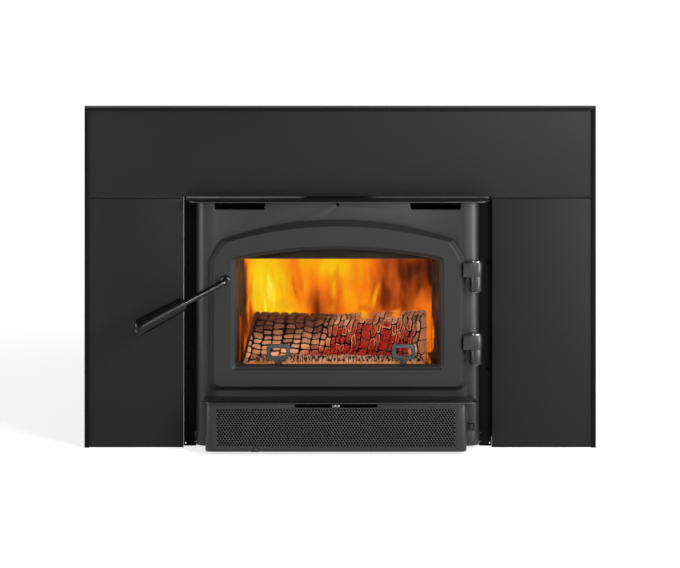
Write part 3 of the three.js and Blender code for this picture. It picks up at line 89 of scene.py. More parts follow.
def size_property(name, description, millimetres):
    return FloatProperty(
        name=name,
        description=description,
        default=millimetres * MM,
        min=0.0,
        unit="LENGTH",
        precision=4,
    )


def colour_property(name, description, colour):
    return FloatVectorProperty(
        name=name,
        description=description,
        default=colour,
        min=0.0,
        max=1.0,
        size=3,
        subtype="COLOR",
    )


class PaintSettings(bpy.types.PropertyGroup):
    panel: colour_property("Panel paint", "Satin powder coat of the surround", (0.0155, 0.0155, 0.0159))
    body: colour_property("Stove paint", "Matt paint of the firebox face", (0.024, 0.024, 0.0245))
    door: colour_property("Door paint", "Matt paint of the cast door", (0.022, 0.022, 0.0225))
    trim: colour_property("Trim paint", "Semi-gloss black of the edge trims", (0.005, 0.005, 0.0053))
    # painted shade: the side flanges sit back in the recess beside the firebox, and this near-black stands
    # in for the shade there
    recess: colour_property("Flange shade", "Flat black of the side flanges", (0.007, 0.007, 0.007))
    gloss: colour_property("Handle enamel", "Glossy black of the handle", (0.004, 0.004, 0.004))
    iron: colour_property("Andiron iron", "Blue-grey cast iron behind the glass", (0.050, 0.060, 0.066))


class DoorSettings(bpy.types.PropertyGroup):
    edge_round: size_property("Edge rounding", "Radius on the casting's edges", 1.6)
    arch_steps: IntProperty(
        name="Arch steps", description="Faces along half the arch", default=28, min=6
    )


class GrilleSettings(bpy.types.PropertyGroup):
    hole: size_property("Hole diameter", "Diameter of each punched hole", 4.15)
    pitch: size_property("Hole pitch", "Distance between holes along a row", 5.74)
    row: size_property("Row pitch", "Distance between rows", 4.45)


class HandleSettings(bpy.types.PropertyGroup):
    rod_radius: size_property("Rod radius", "Radius of the bent rod", 6.35)
    bend_radius: size_property("Bend length", "How far the rod's bend reaches along each of its legs", 11.0)
    grip_length: size_property("Grip length", "Length of the swollen grip", 111.7)


class FireSettings(bpy.types.PropertyGroup):
    ash: colour_property("Ash", "Pale ash on the charred blocks", (0.78, 0.42, 0.25))
    char: colour_property("Char", "Burnt wood in the cracks", (0.006, 0.004, 0.003))
    ember: colour_property("Ember", "Glowing blocks", (0.42, 0.018, 0.007))
    flame_height: size_property("Flame height", "Top of the fire over the frame's floor line", 389.0)
    glow: FloatProperty(name="Glow", description="Strength of the flames' light", default=1.0, min=0.0)


class StageSettings(bpy.types.PropertyGroup):
    floor: colour_property("Floor", "Pale studio floor", (0.86, 0.86, 0.86))
    view_width: size_property("View width", "Width that the camera sees", 1360.0)
    tilt: FloatProperty(
        name="Camera tilt",
        description="How far the camera looks down",
        default=math.radians(12),
        subtype="ANGLE",
    )


SETTINGS = {
    "insert_paint": PaintSettings,
    "insert_door": DoorSettings,
    "insert_grille": GrilleSettings,
    "insert_handle": HandleSettings,
    "insert_fire": FireSettings,
    "insert_stage": StageSettings,
}


# ---------------------------------------------------------------- mesh helpers


def add_piece(name, vertices, faces, body, finish, replaced=()):
    """A new mesh piece that rides on a body and may stand for CAD parts."""
    mesh = bpy.data.meshes.new(name)
    mesh.from_pydata([tuple(v) for v in vertices], [], faces)
    mesh.update()
    mesh.shade_smooth()
    mesh.set_sharp_from_angle(angle=SHARP_ANGLE)
    mesh.materials.append(finish)
    piece = bpy.data.objects.new(name, mesh)
    bpy.context.scene.collection.objects.link(piece)
    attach(piece, body)
    if replaced:
        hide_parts(*replaced)
    return piece


def round_edges(piece, width, segments=3, angle=SHARP_ANGLE):
    bevel = piece.modifiers.new("rounded edges", "BEVEL")
    bevel.width = width
    bevel.segments = segments
    bevel.limit_method = "ANGLE"
    bevel.angle_limit = angle
    bevel.harden_normals = True


def ring_faces(rings, around, closed=False):
    """Quads between stacked rings of equal length. A closed stack joins its last ring to its first."""
    faces = []
    last = rings if closed else rings - 1
    for r in range(last):
        low, high = r * around, ((r + 1) % rings) * around
        for i in range(around):
            j = (i + 1) % around
            faces.append((low + i, low + j, high + j, high + i))
    return faces


def capped_faces(rings, around):
    """The faces of a solid of stacked rings: its sides and its two flat ends."""
    last = (rings - 1) * around
    ends = [tuple(reversed(range(around))), tuple(range(last, last + around))]
    return ring_faces(rings, around) + ends


def sheet_faces(rows, columns):
    """Quads of a sheet whose every row has one vertex more than it has columns."""
    faces = []
    for j in range(rows):
        for i in range(columns):
            a = j * (columns + 1) + i
            faces.append((a, a + 1, a + columns + 2, a + columns + 1))
    return faces


def turned(profile, sides, origin, axis):
    """A lathe-turned solid. Its profile is (radius, distance along the axis) from end to end."""
    turn = Vector((0, 0, 1)).rotation_difference(Vector(axis).normalized())
    vertices = []
    for radius, along in profile:
        for k in range(sides):
            a = 2 * math.pi * k / sides
            local = Vector((radius * math.cos(a), radius * math.sin(a), along))
            vertices.append(Vector(origin) + turn @ local)
    return vertices, capped_faces(len(profile), sides)


def swept(path, radius, sides):
    """A round bar along a path, with flat ends."""
    vertices = []
    up = Vector((1, 0, 0))
    for i, p in enumerate(path):
        ahead = path[min(i + 1, len(path) - 1)]
        behind = path[max(i - 1, 0)]
        tangent = (ahead - behind).normalized()
        side = tangent.cross(up).normalized()
        up = side.cross(tangent).normalized()
        for k in range(sides):
            a = 2 * math.pi * k / sides
            vertices.append(p + radius * (math.cos(a) * side + math.sin(a) * up))
    return vertices, capped_faces(len(path), sides)


def smoothstep(low, high, value):
    t = min(1.0, max(0.0, (value - low) / (high - low)))
    return t * t * (3 - 2 * t)


def blend(a, b, share):
    return a + (b - a) * share


# ---------------------------------------------------------------- finishes


class Finish:
    """A material being wired: one Principled shader, fed by patterns in the frame's coordinates."""

    def __init__(self, name):
        self.material = bpy.data.materials.new(name)
        self.material.use_nodes = True
        self.tree = self.material.node_tree
        self.shader = self.tree.nodes["Principled BSDF"]
        self.place = self.node("ShaderNodeTexCoord").outputs["Object"]

    def node(self, kind, inputs=None, **settings):
        made = self.tree.nodes.new(kind)
        for key, value in settings.items():
            setattr(made, key, value)
        for key, value in (inputs or {}).items():
            self.feed(made.inputs[key], value)
        return made

    def feed(self, socket, value):
        if isinstance(value, bpy.types.NodeSocket):
            self.tree.links.new(value, socket)
        elif socket.type == "RGBA" and len(value) == 3:
            socket.default_value = (*value, 1.0)
        else:
            socket.default_value = value

    def set(self, **values):
        for key, value in values.items():
            self.feed(self.shader.inputs[key.replace("_", " ")], value)

    def stretched(self, scale):
        return self.node(
            "ShaderNodeMapping", {"Vector": self.place, "Scale": scale}
        ).outputs["Vector"]

    def noise(self, scale, detail=3.0, roughness=0.55, place=None, distortion=0.0):
        return self.node(
            "ShaderNodeTexNoise",
            {
                "Vector": place or self.place,
                "Scale": scale,
                "Detail": detail,
                "Roughness": roughness,
                "Distortion": distortion,
            },
        ).outputs["Fac"]

    def math(self, operation, a, b=0.0, clamp=False):
        return self.node(
            "ShaderNodeMath", {0: a, 1: b}, operation=operation, use_clamp=clamp
        ).outputs[0]

    def swing(self, pattern, reach):
        """A pattern from 0 to 1, turned into a shift of up to half the reach to either side."""
        return self.math("MULTIPLY", self.math("SUBTRACT", pattern, 0.5), reach)

    def remap(self, value, low, high, to_low, to_high, smooth=False):
        kind = "SMOOTHSTEP" if smooth else "LINEAR"
        return self.node(
            "ShaderNodeMapRange",
            {
                "Value": value,
                "From Min": low,
                "From Max": high,
                "To Min": to_low,
                "To Max": to_high,
            },
            interpolation_type=kind,
        ).outputs["Result"]

    def ramp(self, value, stops, interpolation="LINEAR"):
        made = self.node("ShaderNodeValToRGB", {"Fac": value})
        band = made.color_ramp
        band.interpolation = interpolation
        while len(band.elements) > 1:
            band.elements.remove(band.elements[-1])
        for i, (position, colour) in enumerate(stops):
            stop = band.elements[0] if i == 0 else band.elements.new(position)
            stop.position = position
            stop.color = (*colour, 1.0)
        return made.outputs["Color"]

    def mix(self, share, a, b, kind="MIX"):
        made = self.node("ShaderNodeMix", data_type="RGBA", blend_type=kind)
        self.feed(made.inputs[0], share)
        self.feed(made.inputs[6], a)
        self.feed(made.inputs[7], b)
        return made.outputs[2]

    def bump(self, height, depth, strength=1.0, under=None):
        inputs = {"Height": height, "Distance": depth, "Strength": strength}
        if under:
            inputs["Normal"] = under
        return self.node("ShaderNodeBump", inputs).outputs["Normal"]

    def attribute(self, name):
        return self.node("ShaderNodeAttribute", attribute_name=name).outputs["Fac"]


def shade(colour, factor):
    return tuple(min(1.0, c * factor) for c in colour)


# painted shade: the near-black that the face takes behind the fan cover
COVER_SHADE = (0.002, 0.002, 0.002)
COVER_REACH = 0.250  # how far to each side the fan cover hides the firebox face


def painted_metal(name, colour, roughness, grain, grain_depth, specular=0.3, cover_shade_foot=None):
    """Baked paint: a fine orange-peel grain and a slow drift of tone from the spray gun.

    Below the given foot height, where the fan cover hides the face, the metal is painted near-black. This
    is painted shade for the dark inside of the cover.
    """
    finish = Finish(name)
    drift = finish.noise(7.0, 4.0)
    fine = finish.noise(grain, 2.0, 0.6)
    tone = finish.mix(drift, shade(colour, 0.86), shade(colour, 1.16))
    shown = finish.mix(finish.remap(fine, 0.35, 0.7, 0.0, 0.35), tone, shade(colour, 1.5))
    # painted shade: behind the fan cover and below the foot height, the face turns near-black
    if cover_shade_foot is not None:
        axes = finish.node("ShaderNodeSeparateXYZ", {"Vector": finish.place})
        aside = finish.math("ABSOLUTE", finish.math("SUBTRACT", axes.outputs["X"], MIDDLE_X))
        behind = finish.math(
            "MULTIPLY",
            finish.remap(aside, COVER_REACH, COVER_REACH + 2 * MM, 1.0, 0.0),
            finish.remap(axes.outputs["Z"], cover_shade_foot, cover_shade_foot + 0.5 * MM, 1.0, 0.0),
        )
        shown = finish.mix(behind, shown, COVER_SHADE)
    finish.set(
        Base_Color=shown,
        Roughness=finish.remap(drift, 0.3, 0.7, roughness - 0.03, roughness + 0.04),
        Specular_IOR_Level=specular,
        Normal=finish.bump(fine, grain_depth),
    )
    return finish.material


def bright_metal(name, colour, roughness, along=(1.0, 1.0, 1.0)):
    """Turned or ground steel with fine tool marks."""
    finish = Finish(name)
    marks = finish.noise(900.0, 2.0, 0.6, finish.stretched(along))
    cloud = finish.noise(60.0, 3.0)
    finish.set(
        Base_Color=finish.mix(cloud, shade(colour, 0.85), shade(colour, 1.1)),
        Metallic=1.0,
        Roughness=finish.remap(marks, 0.3, 0.7, roughness - 0.06, roughness + 0.1),
        Normal=finish.bump(marks, 0.00003),
    )
    return finish.material


def heated_steel(name):
    """Mill scale and heat tint on the firebox plates."""
    finish = Finish(name)
    cloud = finish.noise(14.0, 5.0, 0.6)
    scale = finish.noise(160.0, 4.0, 0.6)
    colour = finish.ramp(
        cloud,
        [(0.3, (0.055, 0.052, 0.052)), (0.5, (0.10, 0.092, 0.085)), (0.68, (0.15, 0.105, 0.075))],
    )
    finish.set(
        Base_Color=finish.mix(finish.remap(scale, 0.4, 0.62, 0.0, 0.6), colour, (0.03, 0.03, 0.032)),
        Metallic=finish.remap(scale, 0.4, 0.62, 0.85, 0.3),
        Roughness=finish.remap(scale, 0.3, 0.7, 0.42, 0.72),
        Normal=finish.bump(scale, 0.00008),
    )
    return finish.material


def zinc_sheet(name):
    """Galvanised sheet: crystal spangle of many greys."""
    finish = Finish(name)
    crystals = finish.node(
        "ShaderNodeTexVoronoi", {"Vector": finish.place, "Scale": 75.0, "Randomness": 1.0}
    )
    tone = finish.node("ShaderNodeSeparateColor", {"Color": crystals.outputs["Color"]}).outputs[0]
    cloud = finish.noise(9.0, 4.0)
    colour = finish.mix(tone, (0.30, 0.31, 0.33), (0.52, 0.53, 0.55))
    finish.set(
        Base_Color=finish.mix(finish.remap(cloud, 0.35, 0.7, 0.0, 0.5), colour, (0.34, 0.35, 0.36)),
        Metallic=0.95,
        Roughness=finish.remap(tone, 0.0, 1.0, 0.34, 0.56),
        Normal=finish.bump(tone, 0.00004),
    )
    return finish.material


def woven_screen(name):
    """Fine black woven wire cloth, used as a sheet of painted shade."""
    finish = Finish(name)
    across = finish.node(
        "ShaderNodeTexWave", {"Vector": finish.place, "Scale": 420.0}, bands_direction="X"
    ).outputs["Fac"]
    upward = finish.node(
        "ShaderNodeTexWave", {"Vector": finish.place, "Scale": 420.0}, bands_direction="Z"
    ).outputs["Fac"]
    weave = finish.math("MULTIPLY", across, upward)
    finish.set(
        Base_Color=finish.mix(weave, (0.0015, 0.0015, 0.0015), (0.004, 0.004, 0.004)),
        Roughness=0.9,
        Specular_IOR_Level=0.02,
        Normal=finish.bump(weave, 0.0001),
    )
    return finish.material


def firebrick(name):
    """Pressed refractory brick, speckled, and darkened by soot where the fire licks it."""
    finish = Finish(name)
    cloud = finish.noise(22.0, 5.0, 0.6)
    grit = finish.noise(420.0, 3.0, 0.7)
    clay = finish.ramp(
        cloud, [(0.3, (0.30, 0.12, 0.045)), (0.55, (0.46, 0.22, 0.09)), (0.75, (0.58, 0.34, 0.16))]
    )
    speckled = finish.mix(finish.remap(grit, 0.52, 0.66, 0.0, 0.55), clay, (0.14, 0.07, 0.035))
    soot = finish.remap(cloud, 0.32, 0.66, 0.96, 0.72, smooth=True)
    finish.set(
        Base_Color=finish.mix(soot, speckled, (0.022, 0.012, 0.008)),
        Roughness=0.95,
        Specular_IOR_Level=0.2,
        Normal=finish.bump(finish.math("ADD", finish.math("MULTIPLY", cloud, 2.0), grit), 0.0006),
    )
    return finish.material


def fibre_board(name, colour, depth=0.0004):
    """Pressed ceramic fibre: short matted strands."""
    finish = Finish(name)
    strands = finish.noise(260.0, 4.0, 0.65, finish.stretched((1.0, 0.35, 1.0)), 1.5)
    cloud = finish.noise(12.0, 4.0)
    finish.set(
        Base_Color=finish.mix(cloud, shade(colour, 0.6), shade(colour, 1.05)),
        Roughness=0.95,
        Specular_IOR_Level=0.2,
        Normal=finish.bump(strands, depth),
    )
    return finish.material


def braided_rope(name):
    """Braided glass-fibre seal: slanted strands crossing each other."""
    finish = Finish(name)
    weave = finish.node(
        "ShaderNodeTexWave",
        {"Vector": finish.place, "Scale": 180.0, "Distortion": 1.5, "Detail": 2.0},
        wave_type="BANDS",
        bands_direction="DIAGONAL",
    ).outputs["Fac"]
    fluff = finish.noise(700.0, 3.0)
    finish.set(
        Base_Color=finish.mix(weave, (0.035, 0.033, 0.031), (0.11, 0.105, 0.098)),
        Roughness=0.92,
        Specular_IOR_Level=0.2,
        Sheen_Weight=0.25,
        Normal=finish.bump(finish.math("ADD", weave, finish.math("MULTIPLY", fluff, 0.4)), 0.0006),
    )
    return finish.material


def cast_iron(name, colour):
    """Sand-cast iron: coarse skin, slightly blue from the heat."""
    finish = Finish(name)
    sand = finish.noise(520.0, 3.0, 0.65)
    cloud = finish.noise(35.0, 4.0)
    finish.set(
        Base_Color=finish.mix(cloud, shade(colour, 0.75), shade(colour, 1.25)),
        Metallic=0.25,
        Roughness=finish.remap(sand, 0.3, 0.7, 0.55, 0.75),
        Normal=finish.bump(sand, 0.00035),
    )
    return finish.material


def clear_glass(name):
    """Heat-proof glass with a faint brown tint and a breath of haze."""
    finish = Finish(name)
    haze = finish.noise(9.0, 4.0, 0.6)
    finish.set(
        Base_Color=finish.mix(haze, (0.97, 0.94, 0.90), (0.93, 0.90, 0.86)),
        Roughness=finish.remap(haze, 0.45, 0.75, 0.0, 0.015),
        IOR=1.1,
        Transmission_Weight=1.0,
        Specular_IOR_Level=0.2,
    )
    return finish.material


def moulded_plastic(name):
    """Spark-textured black plastic."""
    finish = Finish(name)
    texture = finish.noise(1500.0, 2.0, 0.6)
    cloud = finish.noise(40.0, 3.0)
    finish.set(
        Base_Color=finish.mix(cloud, (0.009, 0.009, 0.010), (0.015, 0.015, 0.016)),
        Roughness=finish.remap(texture, 0.3, 0.7, 0.30, 0.44),
        Specular_IOR_Level=0.4,
        Normal=finish.bump(texture, 0.00003),
    )
    return finish.material


def charred_wood(name, settings):
    """Alligator char: ash-capped blocks, black cracks, and red-hot blocks rimmed with ash.

    The log's mesh carries where its cracks, blocks, embers and soot are.
    """
    finish = Finish(name)
    crack = finish.attribute("crack")
    inner = finish.attribute("inner")
    block = finish.attribute("block")
    grain = finish.noise(1.0, 5.0, 0.62, finish.stretched((170.0, 170.0, 620.0)), 0.5)
    fleck = finish.noise(520.0, 3.0, 0.6)
    ash = settings.ash
    pale = finish.mix(block, shade(ash, 0.30), shade(ash, 1.05))
    lined = finish.mix(finish.remap(grain, 0.50, 0.66, 0.0, 0.75), pale, shade(ash, 0.30))
    sooty = finish.mix(finish.attribute("soot"), lined, (0.062, 0.012, 0.004))
    live = finish.mix(
        finish.remap(grain, 0.38, 0.60, 0.0, 1.0), settings.ember, shade(settings.ember, 0.22)
    )
    heart = finish.remap(
        finish.math("SUBTRACT", inner, finish.attribute("rim")), -0.06, 0.06, 0.0, 1.0, smooth=True
    )
    heart = finish.math("MULTIPLY", heart, finish.attribute("ember_share"))
    wood = finish.mix(heart, sooty, live)
    open_crack = finish.remap(crack, 0.30, 0.75, 1.0, 0.0, smooth=True)
    shut = finish.math("SUBTRACT", 1.0, open_crack)
    # painted light: away from the red-hot blocks, the ash and char give off part of their own colour as
    # emission, for the fire's light falling on them
    firelit = finish.mix(1.0, sooty, (0.62, 0.46, 0.34), "MULTIPLY")
    glow = finish.mix(heart, firelit, finish.mix(0.5, live, (0.0, 0.0, 0.0)))
    finish.set(
        Base_Color=finish.mix(open_crack, wood, settings.char),
        Roughness=0.92,
        Specular_IOR_Level=0.12,
        Emission_Color=finish.mix(shut, (0.0, 0.0, 0.0), glow),
        Emission_Strength=1.0,
        Normal=finish.bump(finish.math("ADD", grain, finish.math("MULTIPLY", fleck, 0.4)), 0.0012),
    )
    return finish.material


FLAME_COLOURS = [
    (0.00, (0.004, 0.001, 0.0005)),
    (0.16, (0.045, 0.006, 0.001)),
    (0.32, (0.20, 0.024, 0.0)),
    (0.46, (0.52, 0.085, 0.003)),
    (0.60, (0.96, 0.20, 0.001)),
    (0.74, (0.98, 0.42, 0.001)),
    (0.90, (0.99, 0.68, 0.003)),
    (1.00, (1.00, 0.86, 0.08)),
]

HOT_AND_COOL = (
    # where the fire burns hotter (above 0) or smokes (below 0), in millimetres:
    # x, z, half widths across and up, strength
    (-140, 296, 50, 92, 0.33),  # yellow heart
    (-2, 338, 50, 40, 0.22),  # bright head of the middle flame
    (-62, 250, 30, 30, -0.20),  # smoke over the log
    (40, 262, 44, 30, 0.06),  # orange foot of the middle flame
    (98, 262, 34, 34, -0.20),  # brown smoke
    (146, 326, 42, 38, -0.36),  # dark red corner
    (156, 262, 16, 18, 0.02),  # last warm flame on the right
    (192, 300, 18, 140, -0.34),  # cool edge on the right
    (-204, 300, 21, 150, -0.50),  # cool edge on the left
)


def fire_backdrop(name, settings):
    """The body of the fire: a yellow heart on the left that cools to red smoke on the right."""
    finish = Finish(name)
    axes = finish.node("ShaderNodeSeparateXYZ", {"Vector": finish.place})
    lick = finish.noise(1.0, 3.0, 0.5, finish.stretched((24.0, 24.0, 9.0)))
    curl = finish.noise(1.0, 4.0, 0.6, finish.stretched((17.0, 17.0, 8.0)), 0.8)
    lean = finish.math("MULTIPLY", finish.math("SUBTRACT", axes.outputs["Z"], 0.29), 0.22)
    across = finish.math("ADD", finish.math("ADD", axes.outputs["X"], finish.swing(lick, 0.07)), lean)
    up = finish.math("ADD", axes.outputs["Z"], finish.swing(curl, 0.05))
    level = finish.remap(across, 0.02, 0.14, 0.60, 0.52, smooth=True)
    for x, z, wide, tall, strength in HOT_AND_COOL:
        aside = finish.math("DIVIDE", finish.math("SUBTRACT", across, x * MM), wide * MM)
        above = finish.math("DIVIDE", finish.math("SUBTRACT", up, z * MM), tall * MM)
        aside, above = finish.math("MULTIPLY", aside, aside), finish.math("MULTIPLY", above, above)
        away = finish.math("ADD", aside, above)
        near = finish.math("EXPONENT", finish.math("MULTIPLY", away, -1.0))
        level = finish.math("ADD", level, finish.math("MULTIPLY", near, strength))
    slanted = finish.node(
        "ShaderNodeMapping",
        {"Vector": finish.place, "Rotation": (0.0, -0.32, 0.0), "Scale": (70.0, 70.0, 8.0)},
    ).outputs["Vector"]
    streaks = finish.noise(1.0, 5.0, 0.60, slanted, 0.5)
    smoke = finish.noise(1.0, 4.0, 0.60, finish.stretched((32.0, 32.0, 14.0)), 0.9)
    level = finish.math("ADD", level, finish.swing(streaks, 0.34))
    cooler = finish.remap(level, 0.35, 0.80, 0.75, 0.16)
    level = finish.math("ADD", level, finish.swing(smoke, cooler), clamp=True)
    finish.set(
        Base_Color=(0.0, 0.0, 0.0),
        Roughness=1.0,
        Specular_IOR_Level=0.0,
        Emission_Color=finish.ramp(level, FLAME_COLOURS),
        Emission_Strength=settings.glow,
    )
    return finish.material


def flame_tongue(name, settings, brightness):
    """A thin, see-through flame: bright at its root and torn away towards its tip."""
    finish = Finish(name)
    along = finish.attribute("along")
    edge = finish.attribute("edge")
    tear = finish.noise(1.0, 4.0, 0.6, finish.stretched((60.0, 60.0, 16.0)), 0.8)
    body = finish.math("MULTIPLY", edge, finish.remap(along, 0.55, 1.0, 1.0, 0.0, smooth=True))
    body = finish.math("MULTIPLY", body, finish.remap(tear, 0.34, 0.62, 0.15, 1.0, smooth=True))
    level = finish.math("ADD", finish.math("MULTIPLY", body, 0.45), brightness, clamp=True)
    finish.set(
        Base_Color=(0.0, 0.0, 0.0),
        Roughness=1.0,
        Specular_IOR_Level=0.0,
        Emission_Color=finish.ramp(level, FLAME_COLOURS),
        Emission_Strength=settings.glow,
        Alpha=finish.math("MULTIPLY", body, 0.85),
    )
    return finish.material


EMBER_LEVEL = (0.170, 0.175)  # the heap glows below the first height and is ash above the second


def live_coals(name, settings):
    """Broken char and pale ash flakes, glowing where the heap meets the floor."""
    finish = Finish(name)
    flakes = finish.noise(1.0, 3.0, 0.6, finish.stretched((330.0, 120.0, 90.0)), 0.3)
    dust = finish.noise(420.0, 3.0, 0.6)
    height = finish.node("ShaderNodeSeparateXYZ", {"Vector": finish.place}).outputs["Z"]
    height = finish.math("ADD", height, finish.swing(dust, 0.006))
    low_down = finish.remap(height, *EMBER_LEVEL, 1.0, 0.0, smooth=True)
    seam = finish.remap(flakes, 0.36, 0.50, 1.0, 0.25, smooth=True)
    ashes = finish.mix(dust, shade(settings.ash, 0.38), shade(settings.ash, 0.95))
    finish.set(
        Base_Color=finish.mix(finish.remap(flakes, 0.47, 0.54, 0.0, 1.0), settings.char, ashes),
        Roughness=0.95,
        Specular_IOR_Level=0.1,
        Emission_Color=finish.mix(
            finish.math("MULTIPLY", low_down, seam), (0.012, 0.001, 0.0), (1.0, 0.30, 0.03)
        ),
        Emission_Strength=1.0,
        Normal=finish.bump(finish.math("ADD", flakes, dust), 0.0012),
    )
    return finish.material


# ---------------------------------------------------------------- shared finishes and the frame

FINISHES = {}


def make_finishes(paint):
    FINISHES.update(
        panel_paint=painted_metal("surround powder coat", paint.panel, 0.52, 900.0, 0.00003, 0.14),
        cast_paint=painted_metal("stove paint", paint.body, 0.45, 620.0, 0.00012, 0.32),
        door_paint=painted_metal("door paint", paint.door, 0.50, 620.0, 0.00012, 0.28),
        # the firebox face, with painted shade where the fan cover hides it
        face_paint=painted_metal(
            "face paint with cover shade", paint.body, 0.45, 620.0, 0.00012, 0.32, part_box("blower_cover")[1].z
        ),
        trim_paint=painted_metal("trim black", paint.trim, 0.40, 1200.0, 0.00001, 0.08),
        recess_black=painted_metal("flange painted shade", paint.recess, 0.60, 900.0, 0.00003, 0.04),
        # partly painted shade: the fan's wheels, motor and bracket take this black as their own paint and
        # also for the shade inside the fan cover
        wheel_black=painted_metal("blower black", paint.trim, 0.55, 900.0, 0.00003, 0.10),
        # painted shade: the ledges take the stove paint at 0.42 of its tone, a darker copy for the shade on
        # their tops and fronts
        ledge_paint=painted_metal("ledge paint darkened as shade", shade(paint.body, 0.42), 0.30, 620.0, 0.00005, 0.5),
        hinge_paint=painted_metal("hinge paint", paint.door, 0.34, 620.0, 0.00006, 0.42),
        soot_black=painted_metal("sooty plate", (0.012, 0.011, 0.010), 0.75, 300.0, 0.00015, 0.06),
        # painted shade: the black sheet behind the grille holes
        woven_black=woven_screen("woven shade screen"),
        handle_black=painted_metal("handle enamel", paint.gloss, 0.10, 1500.0, 0.000003, 0.5),
        grip_black=painted_metal("grip enamel", paint.gloss, 0.27, 1500.0, 0.000003, 0.22),
        control_steel=bright_metal("control steel", (0.20, 0.20, 0.20), 0.34, (1.0, 1.0, 0.15)),
        bright_steel=bright_metal("bright steel", (0.50, 0.50, 0.49), 0.24, (1.0, 1.0, 0.15)),
        raw_steel=heated_steel("heat-tinted steel"),
        galvanised=zinc_sheet("galvanised sheet"),
        firebrick=firebrick("sooty firebrick"),
        fibre_board=fibre_board("baffle board", (0.62, 0.58, 0.50)),
        cast_iron=cast_iron("andiron iron", paint.iron),
        burning_wood=fibre_board("plain char", (0.05, 0.03, 0.02), 0.001),
        ceramic_glass=clear_glass("door glass"),
        fibre_rope=braided_rope("braided seal"),
        black_plastic=moulded_plastic("moulded plastic"),
    )


OWN_FINISH = {
    "front_skin": "face_paint",
    "air_control_rod": "control_steel",
    "blower_motor": "wheel_black",
    "airwash_deflector": "soot_black",
    # the side flanges take the near-black of painted shade
    "side_flange_left": "recess_black",
    "side_flange_right": "recess_black",
    "impeller_left": "wheel_black",
    "impeller_right": "wheel_black",
    "blower_bracket": "wheel_black",
    "hinge_lug_upper": "hinge_paint",
    "hinge_lug_lower": "hinge_paint",
    "hinge_bracket_upper": "hinge_paint",
    "hinge_bracket_lower": "hinge_paint",
    "top_ledge": "ledge_paint",
    "lower_ledge": "ledge_paint",
}

EDGE_ROUND = {
    "panel_paint": 0.7,
    "cast_paint": 1.1,
    "trim_paint": 0.6,
    "handle_black": 0.6,
    "bright_steel": 0.5,
    "raw_steel": 0.6,
    "galvanised": 0.4,
    "firebrick": 2.0,
    "fibre_board": 1.2,
    "cast_iron": 1.4,
    "fibre_rope": 1.0,
    "black_plastic": 0.6,
}


def geometry_steps(name, build):
    """A geometry node group from its incoming mesh to its outgoing one."""
    group = bpy.data.node_groups.new(name, "GeometryNodeTree")
    group.interface.new_socket("Geometry", in_out="INPUT", socket_type="NodeSocketGeometry")
    group.interface.new_socket("Geometry", in_out="OUTPUT", socket_type="NodeSocketGeometry")
    start = group.nodes.new("NodeGroupInput")
    end = group.nodes.new("NodeGroupOutput")
    group.links.new(build(group, start.outputs[0]), end.inputs[0])
    return group


def join_faces(group, mesh):
    """Joins the faces that the model file keeps apart, and drops its stored shading."""
    drop = group.nodes.new("GeometryNodeRemoveAttribute")
    drop.inputs["Name"].default_value = "custom_normal"
    group.links.new(mesh, drop.inputs["Geometry"])
    merge = group.nodes.new("GeometryNodeMergeByDistance")
    merge.inputs["Distance"].default_value = 0.01 * MM
    group.links.new(drop.outputs["Geometry"], merge.inputs["Geometry"])
    return merge.outputs["Geometry"]


def shade_curves(group, mesh):
    """Smooth shading over gentle folds, crisp edges over sharp ones."""
    faces = group.nodes.new("GeometryNodeSetShadeSmooth")
    faces.domain = "FACE"
    faces.inputs["Shade Smooth"].default_value = True
    group.links.new(mesh, faces.inputs["Geometry"])
    fold = group.nodes.new("GeometryNodeInputMeshEdgeAngle")
    gentle = group.nodes.new("FunctionNodeCompare")
    gentle.data_type = "FLOAT"
    gentle.operation = "LESS_EQUAL"
    gentle.inputs[1].default_value = SHARP_ANGLE
    group.links.new(fold.outputs["Unsigned Angle"], gentle.inputs[0])
    edges = group.nodes.new("GeometryNodeSetShadeSmooth")
    edges.domain = "EDGE"
    group.links.new(gentle.outputs[0], edges.inputs["Shade Smooth"])
    group.links.new(faces.outputs["Geometry"], edges.inputs["Geometry"])
    return edges.outputs["Geometry"]


def soften_node(node, joining, shading, width):
    welded = node.modifiers.new("joined faces", "NODES")
    welded.node_group = joining
    planar = node.modifiers.new("whole faces", "DECIMATE")
    planar.decimate_type = "DISSOLVE"
    planar.angle_limit = math.radians(0.6)
    if width:
        bevel = node.modifiers.new("soft edges", "BEVEL")
        bevel.width = width * MM
        bevel.segments = 2
        bevel.limit_method = "ANGLE"
        bevel.angle_limit = SHARP_ANGLE
    smooth = node.modifiers.new("shading", "NODES")
    smooth.node_group = shading


class INSERT_OT_finish_frame(bpy.types.Operator):
    """Gives every CAD part its finish and soft edges"""

    bl_idname = "insert.finish_frame"
    bl_label = "Finish the metalwork"

    def execute(self, context):
        make_finishes(context.scene.insert_paint)
        joining = geometry_steps("join faces", join_faces)
        shading = geometry_steps("shade curves", shade_curves)
        for name, node in NODES.items():
            slot = node.data.materials[0].name.split(".")[0]
            node.data.materials[0] = FINISHES[OWN_FINISH.get(name, slot)]
            soften_node(node, joining, shading, EDGE_ROUND.get(slot, 0.0))
        return {"FINISHED"}


# ---------------------------------------------------------------- cast door


# The door's outlines, in millimetres
OUTER_ARCH = 684  # radii of the three arches
BEVEL_ARCH = 781
WINDOW_ARCH = 991
SHOULDER = (25.3, 40.9, 0.12)  # run, drop and roundness of the clipped upper corners
WINDOW_SHOULDER = (10, 12, 1)
BEVEL = 9.8
WINDOW_SIDE, WINDOW_FOOT, WINDOW_HEAD = 43.6, 42.8, 50  # from the casting's edge to the window's
CORNER_STEPS = 8  # faces round each corner
SIGHT_STEP = 10.4  # from the window's edge to the edge of the glass in view


